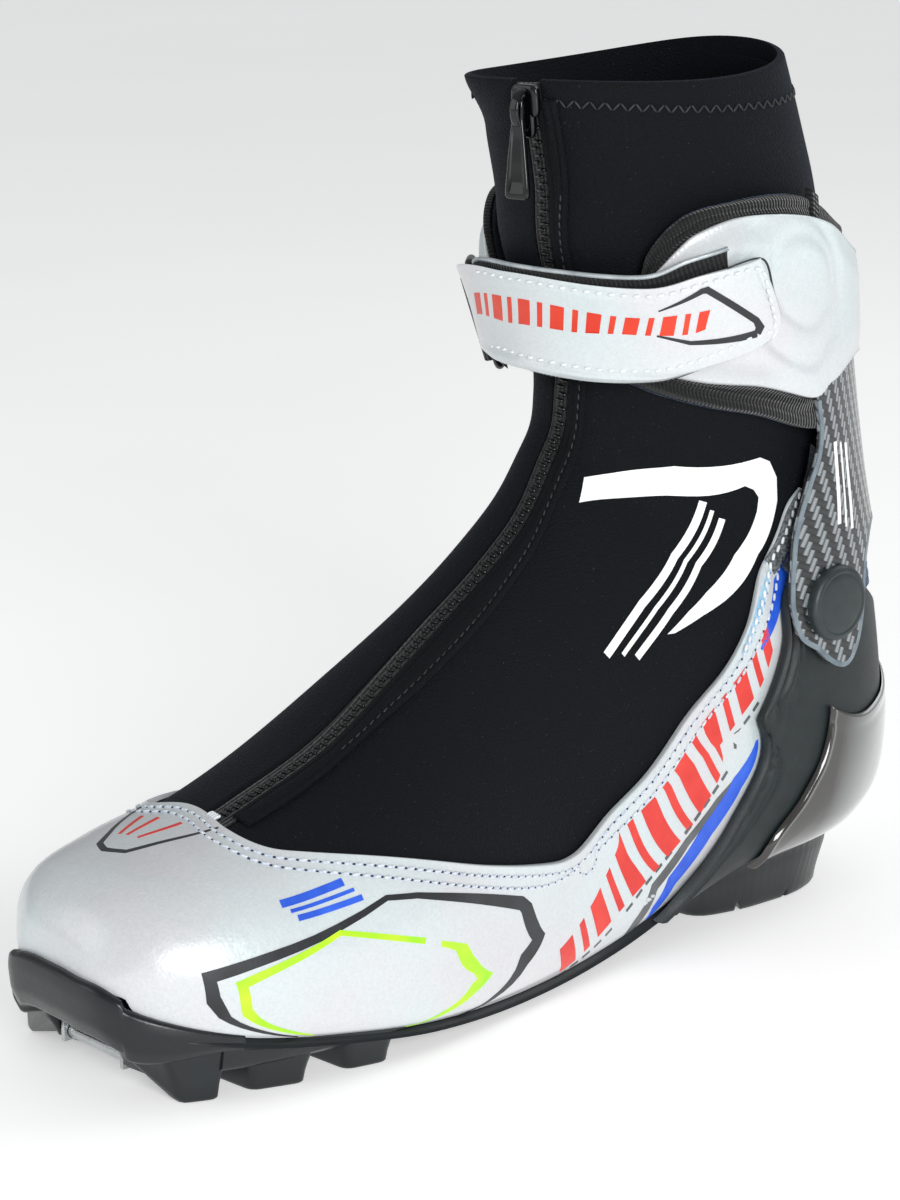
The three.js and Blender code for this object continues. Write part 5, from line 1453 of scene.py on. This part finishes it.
CAP_TALL = 6.4
for name, side in (("pivot_outer", 1), ("pivot_inner", -1)):
    low, high = (np.array(c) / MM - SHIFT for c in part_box(name))
    centre = ((low[1] + high[1]) / 2, (low[2] + high[2]) / 2)
    top = high[0] if side > 0 else -low[0]
    stem = low[0] if side > 0 else -high[0]
    seat = top - CAP_TALL
    profile = [(0.3, stem), (3.8, stem), (4.0, stem + 0.3), (4.0, seat), (10.6, seat),
               (11.0, seat + 0.4), (11.0, top - 2.0), (10.8, top - 1.2), (10.2, top - 0.6),
               (9.4, top - 0.35), (9.0, top - 0.4), (8.7, top - 0.55), (8.3, top - 0.4),
               (7.0, top - 0.2), (3.0, top - 0.03), (0.3, top)]
    keep(turned_shape(f"{name}_cap", profile, centre, side, CAP), "cuff", "pivot_plastic", name)

# %% [markdown]
# ## The strap
# A band of pearl leather comes round the front from a ring on the inner side and is pressed on
# hook tape. Thick thread runs along all its edges.

# %% Strap, hook patch and back leg
def strap_lift(v):
    """The strap stands further off as it nears the ring."""
    return 4.0 * smooth((-turned(v) - 4) / 34)


strap = Layer("strap_band", field(edge(STRAP_LOW), edge(STRAP_TOP),
              straight(STRAP_LOW[0], STRAP_TOP[0]), edge(STRAP_END)), 30, 200, STRAP_IN, STRAP_OUT,
              STRAP_PEARL, 0.6, sink=lambda a: strap_lift(a.v),
              relief=lambda a: 0.3 * smooth(a.edge / 6) - 0.35 * hump(a.edge, 2.6, 0.5))
keep(strap.object, "strap", "pearl_leather", "strap_outer")
on_strap = lambda u, v: STRAP_OUT + 0.32 + strap_lift(v)
inset = STRAP_LOW + STRAP_END[1:] + STRAP_TOP[-2::-1]
inset = beside(inset, 2.6, STRAP_OUT)
strap_thread = seam("strap_stitches", [tuple(p) for p in inset[1:-1]],
                    lambda u, v: STRAP_OUT + 0.3 + strap_lift(v), WHITE_THREAD, 2.5, 1.8, 0.46,
                    0.14)
pointed = [(11.85, 46), (12.5, 59.5), (12.55, 61), (12.46, 73.5), (12.4, 74.3), (12.3, 73),
           (11.62, 53), (11.42, 44)]
strap_mark = films("strap_point_outline", [stripe(pointed[:6], [0.4, 1.6, 1.9, 1.9, 2.4, 2.2],
                   STRAP_OUT), stripe(pointed[5:], [2.2, 1.2, 0.5], STRAP_OUT)],
                   on_strap, BLACK_INK, 8)
mark_top = edge([(11.13, -26), (10.97, -2), (11.1, 19), (11.47, 37), (12.05, 54), (12.37, 63)])
mark_low = edge([(10.77, -26), (10.47, -4), (10.64, 17), (11.14, 35), (11.7, 52), (12.12, 61.5)])


def mark_bar(start, wide, low, high, lean=0.02):
    """One leaning bar of the strap's middle band, as its left and right edges."""
    s = np.linspace(low, high, 4)
    place = lambda t: mix(mark_low(t), mark_top(t), s[:, None])
    return place(start + lean * s), place(start + wide + lean * s)


strap_marks = films("strap_bars_orange", [mark_bar(start, wide, 0.0, 1.0)
                    for start, wide in bar_run], on_strap, ORANGE_INK, 4, 5)
dark_line = edge(STRAP_LOW + STRAP_END[1:] + STRAP_TOP[-2::-1])(np.linspace(0.42, 0.62, 60))
strap_edge = films("strap_dark_edge", [stripe(beside(dark_line, 0.35, STRAP_OUT), 0.5,
                   STRAP_OUT)], lambda u, v: STRAP_OUT - 0.5 + strap_lift(v), BLACK_INK, 2, 3)
for made in (strap_thread, strap_mark, strap_marks, strap_edge):
    keep(made, "strap", "pearl_leather")

patch = Layer("hook_tape", between(edge([(10.5, 20), (10.95, 38), (11.6, 54)]),
              edge([(11.4, 20), (11.85, 38), (12.45, 54)])), 10, 40, HOOK_IN, HOOK_OUT, PILE, 0.3)
keep(patch.object, "strap", "webbing", "hook_patch")
back = Layer("strap_back_leg", between(edge(BACK_LOW), edge(BACK_TOP)), 26, 150, BACK_IN, BACK_OUT,
             WEBBING, 0.5)
keep(back.object, "cuff", "webbing", "strap_inner")


def cord_along(name, places, out, radius, material, t0=0.0, t1=1.0, count=160):
    """A round cord laid on a line of places."""
    uv = edge(places)(np.linspace(t0, t1, count))
    height = out(uv[:, 0], uv[:, 1]) if callable(out) else out
    origin, _, _, normal = axes_at(uv[:, 0], uv[:, 1], height)
    ahead = unit(np.gradient(origin, axis=0))
    side = unit(np.cross(normal, ahead))
    turn = np.linspace(0, 2 * np.pi, 10, endpoint=False)
    circle = radius * np.stack([np.cos(turn), np.sin(turn)], -1)
    return swept(name, origin, side, normal, circle, material)


piping = cord_along("strap_back_piping", BACK_TOP, BACK_OUT - 0.3, 0.65, SILVER_PIPING, 0.04, 1.0)
keep(piping, "cuff", "webbing")

# %% Ring and its tab
RING_PLACE, RING_LENGTH, RING_TALL, RING_WIRE = (11.28, -44.0), 14.2, 30.4, 1.4
SLEEVE_INNER, SLEEVE_OUTER = 2.3, 3.5
ring_out = BACK_OUT + SLEEVE_INNER + 0.65
ring_at, _, _, ring_normal = axes_at(*map(np.array, RING_PLACE), ring_out)
ring_along = unit(np.cross([0, 0, 1.0], ring_normal))
ring_up = np.cross(ring_normal, ring_along)
ring_middle = ring_at - ring_along * RING_LENGTH / 2
frame_line = resampled(rounded_bar(RING_LENGTH, RING_TALL, 3.4, 8), 120)
ring_path = ring_middle + frame_line[:, :1] * ring_along + frame_line[:, 1:] * ring_up
ring_ahead = unit(np.roll(ring_path, -1, 0) - np.roll(ring_path, 1, 0))
ring_side = np.broadcast_to(ring_normal, ring_path.shape)
circle = np.linspace(0, 2 * np.pi, 14, endpoint=False)
ring = swept("strap_ring_loop", ring_path, np.cross(ring_ahead, ring_side), ring_side,
             RING_WIRE * np.stack([np.cos(circle), np.sin(circle)], -1), RING, closed=True)
keep(ring, "cuff", "pivot_plastic", "strap_ring")


def sleeve(name, centre, length, material):
    """Webbing turned round a bar: a tube with a rounded wall, made by sweeping its outline."""
    turn = np.linspace(0, 2 * np.pi, 48, endpoint=False)
    out = np.cos(turn)[:, None] * ring_normal + np.sin(turn)[:, None] * ring_along
    path = centre + (SLEEVE_INNER + SLEEVE_OUTER) / 2 * out
    up = np.broadcast_to(ring_up, path.shape)
    return swept(name, path, out, up, rounded_bar(SLEEVE_OUTER - SLEEVE_INNER, length, 0.4),
                 material, closed=True)


front_sleeve = sleeve("strap_back_sleeve", ring_at, 25, WEBBING)
rear_sleeve = sleeve("ring_tab_sleeve", ring_at - ring_along * RING_LENGTH, 23, WEBBING)
keep(front_sleeve, "cuff", "webbing", "strap_inner")
tab_height = lambda v: smooth((turned(v) + 92) / 28) * 5.2
tab = Layer("ring_tab_web", between(edge([(12.3, -92), (11.2, -61.5)]),
            edge([(13.3, -92), (12.33, -61.5)])), 14, 40, BACK_IN, BACK_OUT, WEBBING, 0.5,
            sink=lambda a: tab_height(a.v))
keep(tab.object, "cuff", "webbing", "ring_tab")
keep(rear_sleeve, "cuff", "webbing", "ring_tab")

# %% [markdown]
# ## Zip slider and pull
# Both are die cast and plated black. The slider is a rounded wedge with a bail over it; the pull
# is narrow at the bail and wide at its end, with raised rims and a hollow middle.

# %% Slider and pull
slide_low, slide_high = (np.array(c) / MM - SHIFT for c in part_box("zip_slider"))
SLIDER_PLACE = (14.62, 10.5)
slide_at, slide_along, slide_up, slide_out = axes_at(*map(np.array, SLIDER_PLACE),
                                                     FLAP_OUT + 0.65)
print("slider from the middle of its box, mm:", (slide_at - (slide_low + slide_high) / 2).round(1))


def rounded_body(size, power, centre, axes, count=(24, 40)):
    """A superellipsoid: each cosine and sine is raised to a power below one, so it is boxy."""
    a = np.linspace(-np.pi / 2, np.pi / 2, count[0] + 2)[1:-1][:, None]
    b = np.linspace(0, 2 * np.pi, count[1], endpoint=False)[None]
    soft = lambda x: np.sign(x) * np.abs(x) ** power
    grid = np.stack([soft(np.cos(a)) * soft(np.cos(b)), soft(np.cos(a)) * soft(np.sin(b)),
                     soft(np.sin(a)) + 0 * b], -1) * np.asarray(size) / 2
    placed = centre + grid @ np.array(axes)
    return loft(placed)


slide_axes = [slide_along, slide_up, slide_out]
waist = slide_at + slide_out * 1.3
parts = [rounded_body((8.6, 9.0, 2.6), 0.45, waist + slide_up * 2.6, slide_axes),
         rounded_body((5.6, 10.0, 2.6), 0.5, waist - slide_up * 2.4, slide_axes)]
arch = np.linspace(-0.15, np.pi + 0.15, 40)
arch_path = (slide_at + slide_out * 2.2 + slide_up * 0.4
             + np.cos(arch)[:, None] * slide_up * 5.3 + np.sin(arch)[:, None] * slide_out * 4.6)
arch_ahead = unit(np.gradient(arch_path, axis=0))
arch_side = np.broadcast_to(slide_along, arch_path.shape)
bail = swept("slider_bail", arch_path, arch_side, np.cross(arch_side, arch_ahead),
             rounded_bar(2.6, 1.2, 0.5), GLOSS_BLACK)
slider = together("slider_body", parts, GLOSS_BLACK)
keep(slider, "slider", "zip_nylon", "zip_slider")
keep(bail, "slider", "zip_nylon", "zip_slider")

pin = slide_at + slide_out * 4.9 + slide_up * 2.0
pull_along = unit(slide_along * [1, 1, 0])
pull_normal = np.cross(pull_along, [0, 0, 1.0])
pull_rings = []
for t, wide, thick in ((-1.6, 2.2, 0.8), (-1.3, 3.0, 1.3), (0.0, 3.4, 1.6), (4.0, 3.6, 1.6),
                       (8.0, 4.6, 1.7), (14.0, 5.9, 1.8), (20.0, 7.1, 1.8), (23.4, 7.6, 1.8),
                       (24.5, 7.0, 1.6), (25.0, 5.4, 0.9)):
    ring = resampled(rounded_bar(wide, thick, min(0.6, thick / 2.2)), 72)
    rise = smooth((np.abs(ring[:, 0]) / (wide / 2) - 0.5) / 0.25)
    hollow = 0.5 * smooth((t - 6) / 2) * (1 - smooth((t - 21) / 1.5))
    ring = ring * np.stack([np.ones(72), 1 - hollow * (1 - rise)], -1)
    pull_rings.append(pin + ring[:, :1] * pull_along + ring[:, 1:] * pull_normal
                      - np.array([0, 0, 1.0]) * t)
fine_rings = through(np.array(pull_rings).reshape(len(pull_rings), -1),
                     np.linspace(0, len(pull_rings) - 1, 60)).reshape(60, 72, 3)
pull = together("pull_tab", [loft(fine_rings)], GLOSS_BLACK)
keep(pull, "pull", "zip_nylon", "zip_pull")

# %% [markdown]
# ## Camera, light and floor
# The boot is seen from its toe's outer side, a little above. A wide soft light near the camera
# makes the sides bright and leaves the top of the toe greyer; a second one behind lifts the edges.

# %% Camera
AZIMUTH, ELEVATION, DISTANCE, LENS = np.radians(48.54), np.radians(13.87), 896.0, 98.2
look = SHIFT + [0, -8.3, 104.3]
away = np.array([np.sin(AZIMUTH) * np.cos(ELEVATION), -np.cos(AZIMUTH) * np.cos(ELEVATION),
                 np.sin(ELEVATION)])
camera_data = bpy.data.cameras.new("camera")
camera_data.lens, camera_data.clip_start, camera_data.clip_end = LENS, 0.05, 20
camera = bpy.data.objects.new("camera", camera_data)
bpy.context.scene.collection.objects.link(camera)
camera.location = Vector((look + away * DISTANCE) * MM)
camera.rotation_euler = Vector(-away).to_track_quat("-Z", "Y").to_euler()
bpy.context.scene.camera = camera


# %% Lights and world
def softbox(name, azimuth, elevation, distance, wide, tall, power):
    """A rectangular area light that looks at the boot's middle."""
    data = bpy.data.lights.new(name, "AREA")
    data.shape, data.size, data.size_y, data.energy = "RECTANGLE", wide, tall, power
    made = bpy.data.objects.new(name, data)
    bpy.context.scene.collection.objects.link(made)
    a, e = np.radians(azimuth), np.radians(elevation)
    way = np.array([np.sin(a) * np.cos(e), -np.cos(a) * np.cos(e), np.sin(e)])
    made.location = Vector(look * MM + way * distance)
    made.rotation_euler = Vector(-way).to_track_quat("-Z", "Y").to_euler()
    return made


softbox("key", 66, 16, 1.5, 0.6, 0.6, 15)
softbox("fill_left", -30, 22, 1.7, 0.9, 1.1, 3.5)
softbox("rim_back", 165, 40, 1.6, 0.9, 0.9, 4)
world = bpy.data.worlds.new("studio")
bpy.context.scene.world = world
world.use_nodes = True
world.node_tree.nodes["Background"].inputs["Color"].default_value = linear("#F1F3F5")
world.node_tree.nodes["Background"].inputs["Strength"].default_value = 0.42
bpy.context.scene.view_settings.view_transform = "Standard"

# %% Floor
floor_mesh = bpy.data.meshes.new("floor")
reach = 30.0
floor_mesh.from_pydata([(-reach, -reach, 0), (reach, -reach, 0), (reach, reach, 0),
                        (-reach, reach, 0)], [], [(0, 1, 2, 3)])
floor = bpy.data.objects.new("floor", floor_mesh)
bpy.context.scene.collection.objects.link(floor)
paper, paper_tree, paper_lit = material("pale_backdrop_paper", "#F3F3F2", 0.9,
                                        Emission_Color=linear("#FFFFFF"), Emission_Strength=0.4)
finish(paper_tree, paper_lit, tint(paper_tree, span(paper_tree, noise(paper_tree,
       in_mm(paper_tree), 300, 2.0), 0.3, 0.7), "#F4F4F3", "#F1F1F0"))
floor_mesh.materials.append(paper)
